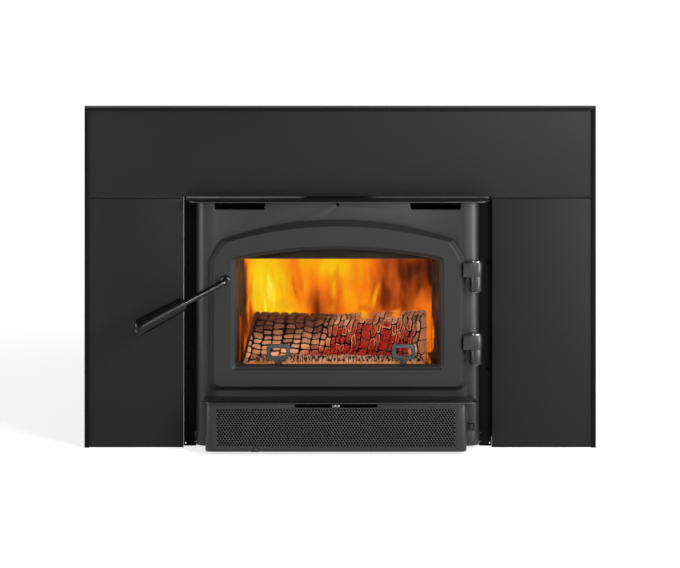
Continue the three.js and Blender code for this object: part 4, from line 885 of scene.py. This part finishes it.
def arched_outline(half, foot, apex, radius, foot_radius, shoulder, steps):
    """An arched frame outline seen from the room, in millimetres, anticlockwise from the right foot."""
    run, drop, roundness = shoulder

    def arch_at(x):
        return apex - radius + math.sqrt(radius * radius - x * x)

    shoulder_x = half - run
    high = Vector((shoulder_x, arch_at(shoulder_x)))
    low = Vector((half, high.y - drop))
    bulge = low.lerp(high, 0.5).lerp(Vector((half, arch_at(half))), roundness)
    right = []
    heel = Vector((half - foot_radius, foot + foot_radius))
    for i in range(CORNER_STEPS + 1):
        a = math.radians(-90 + 90 * i / CORNER_STEPS)
        right.append(heel + foot_radius * Vector((math.cos(a), math.sin(a))))
    for i in range(CORNER_STEPS + 1):
        t = i / CORNER_STEPS
        right.append((1 - t) ** 2 * low + 2 * t * (1 - t) * bulge + t * t * high)
    for i in range(1, steps + 1):
        x = shoulder_x * (1 - i / steps)
        right.append(Vector((x, arch_at(x))))
    left = [Vector((-p.x, p.y)) for p in reversed(right[:-1])]
    return [Vector((p.x + MIDDLE_X / MM, p.y)) for p in right + left]


def between(a, b, share):
    return [p.lerp(q, share) for p, q in zip(a, b)]


class INSERT_OT_cast_door(bpy.types.Operator):
    """Casts the arched door frame with its bevels, window edge and seal groove"""

    bl_idname = "insert.cast_door"
    bl_label = "Cast the door"

    def execute(self, context):
        settings = context.scene.insert_door
        low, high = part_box("door_frame")
        half, foot, apex = (high.x - low.x) / 2 / MM, low.z / MM, high.z / MM
        face, back = low.y, high.y
        steps = settings.arch_steps
        outer = arched_outline(half, foot, apex, OUTER_ARCH, 18, SHOULDER, steps)
        front = arched_outline(half - BEVEL, foot + BEVEL, apex - BEVEL, BEVEL_ARCH, 13.1, SHOULDER, steps)
        side, sill, head = half - WINDOW_SIDE, foot + WINDOW_FOOT, apex - WINDOW_HEAD
        window = arched_outline(side, sill, head, WINDOW_ARCH, 9, WINDOW_SHOULDER, steps)
        side, sill, head = side - SIGHT_STEP, sill + SIGHT_STEP, head - SIGHT_STEP
        sight = arched_outline(side, sill, head, WINDOW_ARCH, 4.5, WINDOW_SHOULDER, steps)
        groove = back - 8 * MM  # the rope seal lies in it
        rings = [
            (outer, back),
            (outer, back - 3 * MM),
            (front, face),
            (window, face),
            (between(window, sight, 0.42), face + 5.5 * MM),
            (between(window, sight, 0.60), face + 5.9 * MM),
            (sight, back),
            (between(outer, window, 0.44), back),
            (between(outer, window, 0.44), groove),
            (between(outer, window, 0.26), groove),
            (between(outer, window, 0.26), back),
        ]
        vertices = [Vector((p.x * MM, y, p.y * MM)) for outline, y in rings for p in outline]
        faces = ring_faces(len(rings), len(outer), closed=True)
        paint = FINISHES["door_paint"]
        door = add_piece("door_casting", vertices, faces, "door", paint, ["door_frame"])
        round_edges(door, settings.edge_round, angle=math.radians(20))
        return {"FINISHED"}


# ---------------------------------------------------------------- perforated grille


def punched_sheet(low, high, columns, rows, radius):
    """The front of a sheet with staggered holes. Cells of neighbouring rows share their corners."""
    pitch, row = (high.x - low.x) / columns, (high.z - low.z) / rows
    vertices, index, faces = [], {}, []

    def vertex(x, z):
        key = (round(x / MM * 1000), round(z / MM * 1000))
        if key not in index:
            index[key] = len(vertices)
            vertices.append(Vector((x, low.y, z)))
        return index[key]

    def rim(x, z):
        w, h = pitch / 2, row / 2
        spots = [(-w, -h), (0, -h), (w, -h), (w, 0), (w, h), (0, h), (-w, h), (-w, 0)]
        return [vertex(x + dx, z + dz) for dx, dz in spots]

    for r in range(rows):
        z = low.z + (r + 0.5) * row
        shifted = r % 2
        for c in range(columns - shifted):
            x = low.x + (c + 0.5 + 0.5 * shifted) * pitch
            outside = rim(x, z)
            inside = []
            for k in range(8):
                a = math.radians(-135 + 45 * k)
                inside.append(vertex(x + radius * math.cos(a), z + radius * math.sin(a)))
            for k in range(8):
                j = (k + 1) % 8
                faces.append((outside[k], outside[j], inside[j], inside[k]))
        if shifted:
            for x0, x1 in ((low.x, low.x + pitch / 2), (high.x - pitch / 2, high.x)):
                a, b = vertex(x0, z - row / 2), vertex(x1, z - row / 2)
                c, d = vertex(x1, z + row / 2), vertex(x0, z + row / 2)
                side = vertex(x1, z) if x0 == low.x else vertex(x0, z)
                faces.append((a, b, side, c, d) if x0 == low.x else (a, b, c, d, side))
    return vertices, faces


class INSERT_OT_punch_grille(bpy.types.Operator):
    """Punches the fan cover's grille: staggered rows of small round holes"""

    bl_idname = "insert.punch_grille"
    bl_label = "Punch the grille"

    def execute(self, context):
        settings = context.scene.insert_grille
        low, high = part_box("blower_grille")
        columns = round((high.x - low.x) / settings.pitch)
        rows = round((high.z - low.z) / settings.row)
        vertices, faces = punched_sheet(low, high, columns, rows, settings.hole / 2)
        paint, replaced = FINISHES["cast_paint"], ["blower_grille"]
        grille = add_piece("grille_sheet", vertices, faces, "insert", paint, replaced)
        sheet = grille.modifiers.new("sheet thickness", "SOLIDIFY")
        sheet.thickness = high.y - low.y
        sheet.offset = -1
        self.back_with_screen(low, high)
        return {"FINISHED"}

    def back_with_screen(self, low, high):
        """A black woven sheet behind the holes, put there as painted shade for the dark inside of the fan
        cover. Its border is folded forward against the cover's inside.
        """
        lap, gap, depth = 5 * MM, 0.2 * MM, 0.5 * MM
        left, right, foot, head = low.x - lap, high.x + lap, low.z - lap, high.z + lap
        rings = []
        for inset, behind in ((0.0, 0.0), (0.0, depth), (lap * 2, depth * 1.6)):
            y = high.y + gap + behind
            x0, x1, z0, z1 = left + inset, right - inset, foot + inset, head - inset
            rings.append([(x0, y, z0), (x1, y, z0), (x1, y, z1), (x0, y, z1)])
        vertices = [corner for ring in rings for corner in ring]
        faces = ring_faces(3, 4) + [(3, 2, 1, 0), (8, 9, 10, 11)]
        add_piece("shade_screen", vertices, faces, "insert", FINISHES["woven_black"], ())


# ---------------------------------------------------------------- seals and cord opening


class INSERT_OT_press_seals(bpy.types.Operator):
    """Presses the rope seals behind the gaps beside the side flanges"""

    bl_idname = "insert.press_seals"
    bl_label = "Press the seals"

    def execute(self, context):
        left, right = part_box("side_flange_left"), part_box("side_flange_right")
        gaps = {
            "face_seal_left": left[1].x + 0.15 * MM,
            "face_seal_right": right[0].x - 0.15 * MM,
            "panel_seal_right": right[1].x + 0.15 * MM,
        }
        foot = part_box("base_pan")[1].z + 1 * MM
        head = left[1].z - 2 * MM
        radius, steps = 3 * MM, 60
        for name, x in gaps.items():
            path = []
            for i in range(steps + 1):
                z = blend(foot, head, i / steps)
                slack = 0.3 * MM * noise.noise(Vector((x * 90, 4.1, z * 28)))
                path.append(Vector((x + slack, left[1].y + radius, z)))
            vertices, faces = swept(path, radius, 14)
            add_piece(name, vertices, faces, "insert", FINISHES["fibre_rope"], ())
        return {"FINISHED"}


NOTCH_OFFSET = 162.5 * MM  # how far left of the cover's middle its cord notch is


class INSERT_OT_seat_bushing(bpy.types.Operator):
    """Seats the half-round rubber bushing that closes the cord notch in the cover's foot"""

    bl_idname = "insert.seat_bushing"
    bl_label = "Seat the bushing"

    def execute(self, context):
        low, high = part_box("blower_cover")
        middle = (low.x + high.x) / 2 - NOTCH_OFFSET
        profile = [
            (5.0, 1.4), (5.75, 1.2), (5.75, -0.1), (7.2, -0.1),
            (7.5, -0.5), (7.3, -1.2), (6.4, -1.6), (3.0, -1.7),
        ]
        steps = 16
        vertices = []
        for radius, inward in profile:
            for k in range(steps + 1):
                a = math.pi * k / steps
                x, z = radius * MM * math.cos(a), radius * MM * math.sin(a)
                vertices.append(Vector((middle + x, low.y + inward * MM, low.z + z)))
        faces = capped_faces(len(profile), steps + 1)
        add_piece(
            "cord_bushing", vertices, faces, "insert", FINISHES["black_plastic"], ()
        )
        return {"FINISHED"}


# ---------------------------------------------------------------- handle and pins


ELBOW_REACH = 14 * MM  # how far the rod's elbow stands before the door
ROD_END = 114.8 * MM  # the rod's end, inside the grip
GRIP_START = 94.8 * MM
FULL_GRIP = 111.7  # length that the grip's profile is drawn at


def handle_line():
    """The rod's elbow in front of the door, and the way the handle points from there."""
    droop, lean = math.radians(25.3), math.radians(16)
    along = Vector(
        (-math.cos(lean) * math.cos(droop), -math.sin(lean), -math.cos(lean) * math.sin(droop))
    )
    turn = next(j for j in frame["joints"] if j["name"] == "handle_turn")
    pivot = Vector(turn["pos_m"])
    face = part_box("door_frame")[0].y
    return Vector((pivot.x, face - ELBOW_REACH, pivot.z)), along, face


class INSERT_OT_bend_handle(bpy.types.Operator):
    """Bends the enamelled rod out of the door and turns its swollen grip"""

    bl_idname = "insert.bend_handle"
    bl_label = "Bend the handle"

    def execute(self, context):
        settings = context.scene.insert_handle
        elbow, along, face = handle_line()
        start = elbow + Vector((0, settings.bend_radius, 0))
        end = elbow + settings.bend_radius * along
        path = [Vector((elbow.x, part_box("handle_rod")[1].y, elbow.z))]
        for i in range(13):
            t = i / 12
            path.append((1 - t) ** 2 * start + 2 * t * (1 - t) * elbow + t * t * end)
        path.append(elbow + ROD_END * along)
        vertices, faces = swept(path, settings.rod_radius, 28)
        boss_profile = [
            (10.0, 0.0), (10.4, 0.5), (10.4, 1.9), (10.0, 3.3),
            (9.2, 4.6), (8.1, 5.5), (7.1, 6.0), (6.2, 6.2),
        ]
        boss = turned(
            [(r * MM, h * MM) for r, h in boss_profile], 40, (elbow.x, face, elbow.z), (0, -1, 0)
        )
        count = len(vertices)
        vertices += boss[0]
        faces += [tuple(i + count for i in f) for f in boss[1]]
        enamel = FINISHES["handle_black"]
        add_piece("handle_bar", vertices, faces, "handle", enamel, ["handle_rod"])
        length = settings.grip_length
        swell = [
            (11.6, 0.0), (12.8, 0.4), (13.7, 1.4), (14.1, 3.2), (14.5, 14), (15.1, 32), (15.7, 52),
            (16.3, 74), (16.6, 90), (16.6, 101), (16.3, 105.5), (15.6, 108.6), (14.4, 110.8),
            (13.0, FULL_GRIP), (12.2, 111.2), (11.7, 110.0), (11.2, 109.2), (6.0, 109.0),
        ]
        profile = [(r * MM, h / FULL_GRIP * length) for r, h in swell]
        vertices, faces = turned(profile, 48, elbow + GRIP_START * along, along)
        enamel = FINISHES["grip_black"]
        add_piece("handle_swell", vertices, faces, "handle", enamel, ["handle_grip"])
        return {"FINISHED"}


class INSERT_OT_turn_pins(bpy.types.Operator):
    """Turns the two hinge pins with their bright domed heads"""

    bl_idname = "insert.turn_pins"
    bl_label = "Turn the hinge pins"

    def execute(self, context):
        for level in ("upper", "lower"):
            low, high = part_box(f"hinge_pin_{level}")
            middle = (low + high) / 2
            length = (high.z - low.z) / MM
            profile = [
                (3.6, 0), (5, 1.4), (5, length - 2.6), (9.1, length - 2.5), (9.5, length - 2.1),
                (9.5, length - 1.2), (9.0, length - 0.5), (7.8, length - 0.1), (5.0, length),
            ]
            vertices, faces = turned(
                [(r * MM, h * MM) for r, h in profile], 32, (middle.x, middle.y, low.z), (0, 0, 1)
            )
            add_piece(
                f"pin_{level}", vertices, faces, "door", FINISHES["bright_steel"],
                [f"hinge_pin_{level}"],
            )
        return {"FINISHED"}


# ---------------------------------------------------------------- log, embers and fire

LOG_STEPS_ALONG = 400
LOG_STEPS_AROUND = 230
COLUMN_WIDTH = 19.5 * MM  # the char splits into columns across the grain, and each column into blocks
COLUMN_LEAN = 0.16  # how far the columns slant sideways for each unit of length round the log
LOG_GIRTH_RADIUS = 52 * MM  # turns an angle round the log into a length on its bark
LOG_RADIUS_SHARE = 0.475  # of the box's depth and height, which leaves room for the relief
CRACK_DEPTH = 4.4 * MM
BLOCK_STEP = 3.0 * MM  # how much blocks differ in height
LUMP_HEIGHT = 1.2 * MM
END_SLANT = 23 / 366  # how far the left end leans in at the top, as a share of the log's length
EDGE_ROUNDING = 1.3 * MM  # how far a block's edges fall off


def log_section(turn, share):
    """Half width and half height of the log at a turn round it, as shares. It is a soft-cornered square."""
    squareness = 3.4
    c, s = math.cos(turn), math.sin(turn)
    reach = (abs(c) ** squareness + abs(s) ** squareness) ** (-1 / squareness)
    knot = 1 + 0.025 * noise.noise(Vector((share * 5, c * 1.3, s * 1.3)))
    return reach * knot * c, reach * knot * s


def chance(*place):
    """The same random share from 0 to 1 for the same whole numbers."""
    cell = Vector([p + 0.5 for p in place] + [0.5] * (3 - len(place)))
    return min(1.0, max(0.0, 0.5 + 0.5 * noise.cell(cell)))


def char_block(x, girth):
    """How far a place is from the nearest crack, in metres, and its block's share of chance."""
    wave = noise.noise(Vector((x * 34, girth * 34, 3.1)))
    small = noise.noise(Vector((x * 95, girth * 95, 8.7)))
    leaning = COLUMN_LEAN * (girth - 0.16)
    across = (x + leaning) / COLUMN_WIDTH + 0.26 * wave + 0.12 * small
    column = math.floor(across)
    hot = smoothstep(-70 * MM, 0.0, (column + 0.5) * COLUMN_WIDTH)  # the right half burns hotter
    if hot > 0.5 and chance(column, 7) > 0.45:  # hot columns split in two lengthways
        across = across * 2
        column = math.floor(across) + 1000
        width = COLUMN_WIDTH / 2
    else:
        width = COLUMN_WIDTH
    tall = blend(10.5, 23.0, hot) * (0.72 + 0.62 * chance(column, 3)) * MM
    bend = noise.noise(Vector((x * 60, girth * 20, 5.5)))
    rise = girth / tall + chance(column, 1) * 3 + 0.30 * bend + 0.16 * small
    row = math.floor(rise)
    aside = min(across - math.floor(across), 1 - across + math.floor(across)) * width
    above = min(rise - row, 1 - rise + row) * tall
    edge = (max(aside, 1e-5) ** -1.7 + max(above, 1e-5) ** -1.7) ** (-1 / 1.7)
    return edge, chance(column, row, 5)


def char_log(low, high):
    """Vertices, faces and the crack, block, ember and soot shares of every vertex."""
    centre = (low + high) / 2
    size = high - low
    vertices = []
    values = {"crack": [], "inner": [], "block": [], "ember_share": [], "rim": [], "soot": []}
    for i in range(LOG_STEPS_ALONG + 1):
        share = i / LOG_STEPS_ALONG
        end = min(share, 1 - share) * LOG_STEPS_ALONG
        taper = 1 - 0.05 * smoothstep(5, 0, end)
        for k in range(LOG_STEPS_AROUND):
            turn = 2 * math.pi * k / LOG_STEPS_AROUND
            c, s = log_section(turn, share)
            up = 0.5 + 0.5 * max(-1.0, min(1.0, s))
            slant = END_SLANT * up * (1 - share) ** 4 * size.x
            x = low.x + share * size.x + slant
            sag = -(3.0 + 4.0 * math.sin(math.pi * min(1.0, share * 1.05))) * MM * up * (1 - share ** 6)
            y = centre.y + c * taper * size.y * LOG_RADIUS_SHARE
            z = centre.z + s * taper * size.z * LOG_RADIUS_SHARE + sag
            lump = noise.noise(Vector((x * 60, y * 60, z * 60)))
            drift = noise.noise(Vector((x * 14, y * 14, z * 14)))
            hot = smoothstep(0.36, 0.50, share + 0.14 * drift - 0.05 * s)
            edge, block = char_block(x, turn * LOG_GIRTH_RADIUS)
            crack = smoothstep(0.5 * MM, blend(2.3, 1.7, hot) * MM, edge + 0.7 * MM * lump)
            depth = (1 - crack) * CRACK_DEPTH - (block - 0.5) * BLOCK_STEP - lump * LUMP_HEIGHT
            depth += (1 - smoothstep(0.0, 4.5 * MM, edge)) * EDGE_ROUNDING
            out = Vector((0, c, s)).normalized()
            vertices.append(Vector((x, y, z)) - out * depth)
            pale_end = smoothstep(0.90, 0.935, share + 0.03 * lump)
            middle = smoothstep(0.98, 0.66, s + 0.35 * drift) * hot * (1 - 0.75 * pale_end)
            foot = smoothstep(-0.42, -0.62, s + 0.2 * lump) * smoothstep(0.22, 0.34, share)
            foot *= 1 - 0.6 * pale_end
            sooty = smoothstep(-0.1, 0.85, s + 0.30 * drift + 0.6 * (block - 0.5))
            values["crack"].append(crack)
            values["inner"].append(min(1.0, edge / (7 * MM)))
            values["block"].append(block)
            values["ember_share"].append(min(1.0, max(middle, foot)))
            ashy = smoothstep(-0.6, 0.9, s + 0.9 * (block - 0.5))
            values["rim"].append(blend(0.05, 0.30, ashy))
            values["soot"].append(sooty * blend(0.96, 0.42, hot))
    return vertices, capped_faces(LOG_STEPS_ALONG + 1, LOG_STEPS_AROUND), values


COAL_CREST = 183 * MM  # top of the heap over the frame's floor line


def coal_heap(low, high):
    """A closed heap of coals on the firebox floor, against the log's foot, before the bricks."""
    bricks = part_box("brick_floor")
    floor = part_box("firebox_floor")[1].z + 0.2 * MM
    front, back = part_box("andiron_left")[1].y + 2 * MM, bricks[0].y - 0.4 * MM
    left, right = low.x + 12 * MM, high.x + 6 * MM
    columns, slope, behind = 210, 26, 6
    vertices = []
    for i in range(columns + 1):
        share = i / columns
        x = blend(left, right, share)
        ends = smoothstep(0.0, 0.05, share) * smoothstep(1.0, 0.95, share)
        for k in range(slope):
            t = k / (slope - 1)
            lump = noise.noise(Vector((x * 120, t * 4.5, 7.7)))
            lump += 0.5 * noise.noise(Vector((x * 310, t * 9, 2.2)))
            y = blend(front, back, t) + 1.6 * MM * lump * math.sin(math.pi * t)
            rise = math.sin(0.5 * math.pi * min(1.0, t * 1.35)) ** 0.8 * blend(0.35, 1.0, ends)
            z = blend(floor, COAL_CREST, rise) + 2.4 * MM * lump * rise
            vertices.append(Vector((x, y, z)))
        for k in range(behind):
            t = (k + 1) / (behind + 1)
            vertices.append(Vector((x, blend(back, front, t * 0.98), floor)))
    return vertices, capped_faces(columns + 1, slope + behind)


def carry(piece, values):
    """Stores one number per vertex under each name."""
    for name, numbers in values.items():
        layer = piece.data.attributes.new(name, "FLOAT", "POINT")
        layer.data.foreach_set("value", numbers)


class INSERT_OT_lay_log(bpy.types.Operator):
    """Lays the cracked, ash-capped log and the coals under it"""

    bl_idname = "insert.lay_log"
    bl_label = "Lay the log"

    def execute(self, context):
        settings = context.scene.insert_fire
        low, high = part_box("fire_log")
        vertices, faces, values = char_log(low, high)
        log = add_piece(
            "charred_log", vertices, faces, "insert", charred_wood("charred wood", settings),
            ["fire_log"],
        )
        log.data.set_sharp_from_angle(angle=math.radians(70))
        carry(log, values)
        vertices, faces = coal_heap(low, high)
        coals = live_coals("live coals", settings)
        add_piece("ember_bed", vertices, faces, "insert", coals, ())
        return {"FINISHED"}


FLAMES = (
    # name, root (x, y, z), height, width, lean, curl, brightness, all but the last in millimetres
    ("flame_heart", (-150, 48, 240), 118, 44, 10, 9, 0.62),
    ("flame_left", (-184, 26, 190), 150, 20, 2, 8, 0.30),
    ("flame_middle", (-2, 44, 236), 112, 44, -14, 10, 0.44),
    ("flame_between", (-84, 52, 240), 92, 22, -20, 8, 0.34),
    ("flame_right", (62, 50, 236), 104, 30, 14, 11, 0.32),
    ("flame_side_left", (-203, -10, 150), 215, 34, 8, 7, 0.02),
    ("flame_side_right", (196, -4, 150), 190, 24, -4, 7, 0.02),
    ("flame_lick_low", (178, -30, 150), 60, 15, -8, 6, 0.34),
    ("flame_lick_high", (184, -8, 176), 104, 13, 4, 8, 0.26),
    ("flame_foot_left", (-118, 36, 248), 34, 60, 8, 4, 0.55),
    ("flame_foot_middle", (-16, 36, 246), 30, 66, -8, 4, 0.42),
    ("flame_over_log", (40, -54, 236), 52, 84, 16, 5, 0.30),
    ("flame_over_right", (104, -50, 236), 52, 70, 18, 5, 0.24),
    ("flame_tip_white", (-139, 36, 276), 36, 8, -9, 2, 0.80),
    ("flame_spark_white", (-167, 28, 246), 26, 4, 1, 1, 0.80),
)


def flame_sheet(root, height, width, lean, curl):
    """A wavy pointed sheet, with how far along it and how near its middle every vertex is."""
    tall, wide = 36, 12
    vertices, alongs, edges = [], [], []
    for j in range(tall + 1):
        t = j / tall
        swell = math.sin(math.pi * min(1.0, 0.16 + 0.84 * t)) ** 0.8 * (1 - 0.25 * t)
        sway = lean * t + curl * math.sin(3.6 * t + root[0]) * t
        for i in range(wide + 1):
            u = 2 * i / wide - 1
            x = root[0] + sway + u * swell * width / 2
            y = root[1] + curl * 0.7 * math.sin(2.6 * t + 1.4 * u + root[2])
            vertices.append(Vector((x, y, root[2] + t * height)) * MM)
            alongs.append(t)
            edges.append(smoothstep(0, 1, 1 - abs(u)))
    return vertices, sheet_faces(tall, wide), {"along": alongs, "edge": edges}


class INSERT_OT_light_fire(bpy.types.Operator):
    """Lights the fire: a wavy body of flame behind the log, with tongues in front of it"""

    bl_idname = "insert.light_fire"
    bl_label = "Light the fire"

    def execute(self, context):
        settings = context.scene.insert_fire
        self.hang_body(settings)
        for name, root, height, width, lean, curl, brightness in FLAMES:
            vertices, faces, values = flame_sheet(root, height, width, lean, curl)
            finish = flame_tongue(f"{name} glow", settings, brightness)
            tongue = add_piece(name, vertices, faces, "insert", finish, ())
            carry(tongue, values)
        return {"FINISHED"}

    def hang_body(self, settings):
        left, right, foot, depth = -203 * MM, 192 * MM, 158 * MM, 58 * MM
        columns, rows = 120, 70
        vertices = []
        for j in range(rows + 1):
            z = blend(foot, settings.flame_height, j / rows)
            for i in range(columns + 1):
                x = blend(left, right, i / columns)
                wave = 7 * MM * math.sin(x * 38 + z * 9)
                wave += 5 * MM * noise.noise(Vector((x * 12, 0, z * 12)))
                vertices.append(Vector((x, depth + wave, z)))
        faces = sheet_faces(rows, columns)
        glow = fire_backdrop("body of the fire", settings)
        add_piece("fire_body", vertices, faces, "insert", glow, ())


# ---------------------------------------------------------------- stage


CAMERA_TARGET = Vector((-0.0004, -0.11092, 0.3345))
CAMERA_AWAY = 3
FLOOR_GLOW = 0.76  # under the insert, where its shadow shows. Further off the floor is white
FLOOR_FADE = (0.5, 2.2)
ROOM_LIGHT = 0.12  # what the white surroundings add to the lamps


def math_step(tree, operation, a, b):
    step = tree.nodes.new("ShaderNodeMath")
    step.operation = operation
    for socket, value in zip(step.inputs, (a, b)):
        if isinstance(value, bpy.types.NodeSocket):
            tree.links.new(value, socket)
        else:
            socket.default_value = value
    return step.outputs[0]


def backdrop_share(tree, facing=None):
    """1 where the camera sees the backdrop, itself or through glass, and where metal mirrors it.

    Given the way a ray faces, a mirror turned towards the camera sees the room there, which is dark.
    """
    path = tree.nodes.new("ShaderNodeLightPath")
    mirrored = path.outputs["Is Glossy Ray"]
    if facing is not None:
        axes = tree.nodes.new("ShaderNodeSeparateXYZ")
        tree.links.new(facing, axes.inputs[0])
        rearward = tree.nodes.new("ShaderNodeMapRange")
        rearward.interpolation_type = "SMOOTHSTEP"
        rearward.inputs["From Min"].default_value = 0.2
        rearward.inputs["From Max"].default_value = 0.6
        tree.links.new(axes.outputs["Y"], rearward.inputs["Value"])
        mirrored = math_step(tree, "MULTIPLY", mirrored, rearward.outputs["Result"])
    through = math_step(tree, "MAXIMUM", mirrored, path.outputs["Is Transmission Ray"])
    scattered = math_step(tree, "LESS_THAN", path.outputs["Diffuse Depth"], 0.5)
    through = math_step(tree, "MULTIPLY", through, scattered)
    return math_step(tree, "MAXIMUM", path.outputs["Is Camera Ray"], through)


def scaled(tree, value, low, high):
    span = tree.nodes.new("ShaderNodeMapRange")
    span.inputs["To Min"].default_value = low
    span.inputs["To Max"].default_value = high
    tree.links.new(value, span.inputs["Value"])
    return span.outputs["Result"]


class INSERT_OT_lay_stage(bpy.types.Operator):
    """Sets the camera, the pale floor, the soft lamps and the white surroundings"""

    bl_idname = "insert.lay_stage"
    bl_label = "Lay the stage"

    def execute(self, context):
        settings = context.scene.insert_stage
        self.set_camera(context, settings)
        self.lay_floor(settings)
        self.hang_lamps()
        self.light_surroundings(context)
        context.scene.view_settings.view_transform = "Standard"
        return {"FINISHED"}

    def set_camera(self, context, settings):
        data = bpy.data.cameras.new("front camera")
        data.type = "ORTHO"
        data.ortho_scale = settings.view_width
        data.clip_end = 40
        camera = bpy.data.objects.new("front_camera", data)
        tilt = settings.tilt
        camera.location = CAMERA_TARGET - CAMERA_AWAY * Vector((0, math.cos(tilt), -math.sin(tilt)))
        camera.rotation_euler = (math.pi / 2 - tilt, 0, 0)
        context.scene.collection.objects.link(camera)
        context.scene.camera = camera

    def lay_floor(self, settings):
        finish = Finish("pale floor")
        tree = finish.tree
        tone = finish.noise(3.0, 2.0)
        away = finish.node("ShaderNodeVectorMath", {0: finish.place}, operation="LENGTH")
        lift = finish.remap(away.outputs["Value"], *FLOOR_FADE, FLOOR_GLOW, 1.0, smooth=True)
        share = backdrop_share(tree)
        finish.set(
            Base_Color=finish.mix(tone, settings.floor, shade(settings.floor, 1.02)),
            Roughness=0.9,
            Specular_IOR_Level=0.1,
            Emission_Color=(1.0, 1.0, 1.0),
            Emission_Strength=math_step(tree, "MULTIPLY", share, lift),
        )
        mesh = bpy.data.meshes.new("studio_floor")
        reach, below = 14.0, -0.5 * MM
        corners = [(x * reach, y * reach, below) for x, y in ((-1, -1), (1, -1), (1, 1), (-1, 1))]
        mesh.from_pydata(corners, [], [(0, 1, 2, 3)])
        mesh.materials.append(finish.material)
        floor = bpy.data.objects.new("studio_floor", mesh)
        bpy.context.scene.collection.objects.link(floor)

    def hang_lamps(self):
        lamps = (
            # name, place, width, height, power, whether it lights surfaces as well as glinting on them
            ("key lamp", (1.8, -2.5, 1.75), 1.5, 1.5, 80.0, True),
            ("fill lamp", (-2.2, -2.4, 0.9), 1.4, 1.4, 12.0, True),
            ("front strip", (0.75, -2.6, 0.85), 0.10, 1.1, 13.0, False),
            ("left strip", (-1.35, -0.62, 0.76), 0.34, 1.44, 16.0, False),
            ("right strip", (1.35, -0.72, 0.76), 0.30, 1.44, 34.0, False),
        )
        for name, place, width, height, power, lights_surfaces in lamps:
            data = bpy.data.lights.new(name, "AREA")
            data.shape = "RECTANGLE"
            data.size = width
            data.size_y = height
            data.energy = power
            lamp = bpy.data.objects.new(name.replace(" ", "_"), data)
            lamp.location = place
            aim = Vector((0, 0, 0.3)) - Vector(place)
            if not lights_surfaces:
                aim.z = 0.0
                lamp.visible_diffuse = False
            lamp.rotation_euler = aim.to_track_quat("-Z", "Y").to_euler()
            bpy.context.scene.collection.objects.link(lamp)

    def light_surroundings(self, context):
        world = bpy.data.worlds.new("white surroundings")
        world.use_nodes = True
        tree = world.node_tree
        sky = tree.nodes["Background"]
        sky.inputs["Color"].default_value = (1, 1, 1, 1)
        direction = tree.nodes.new("ShaderNodeTexCoord").outputs["Generated"]
        share = backdrop_share(tree, direction)
        tree.links.new(scaled(tree, share, ROOM_LIGHT, 1.0), sky.inputs["Strength"])
        context.scene.world = world


# ---------------------------------------------------------------- add-on

OPERATORS = (
    INSERT_OT_lay_stage,
    INSERT_OT_finish_frame,
    INSERT_OT_cast_door,
    INSERT_OT_punch_grille,
    INSERT_OT_press_seals,
    INSERT_OT_seat_bushing,
    INSERT_OT_bend_handle,
    INSERT_OT_turn_pins,
    INSERT_OT_lay_log,
    INSERT_OT_light_fire,
)


class INSERT_PT_hearth(bpy.types.Panel):
    """Sizes, colours and steps of the fireplace insert"""

    bl_label = "Fireplace Insert"
    bl_idname = "INSERT_PT_hearth"
    bl_space_type = "VIEW_3D"
    bl_region_type = "UI"
    bl_category = "Hearth"

    def draw(self, context):
        for name, settings in SETTINGS.items():
            group = self.layout.box()
            for prop in settings.__annotations__:
                group.prop(getattr(context.scene, name), prop)
        for operator in OPERATORS:
            self.layout.operator(operator.bl_idname)


CLASSES = (*SETTINGS.values(), *OPERATORS, INSERT_PT_hearth)


def register():
    for made in CLASSES:
        bpy.utils.register_class(made)
    for name, settings in SETTINGS.items():
        setattr(bpy.types.Scene, name, PointerProperty(type=settings))


def unregister():
    for name in SETTINGS:
        delattr(bpy.types.Scene, name)
    for made in reversed(CLASSES):
        bpy.utils.unregister_class(made)


def main():
    register()
    for operator in OPERATORS:
        group, step = operator.bl_idname.split(".")
        getattr(getattr(bpy.ops, group), step)()


if __name__ == "__main__":
    main()
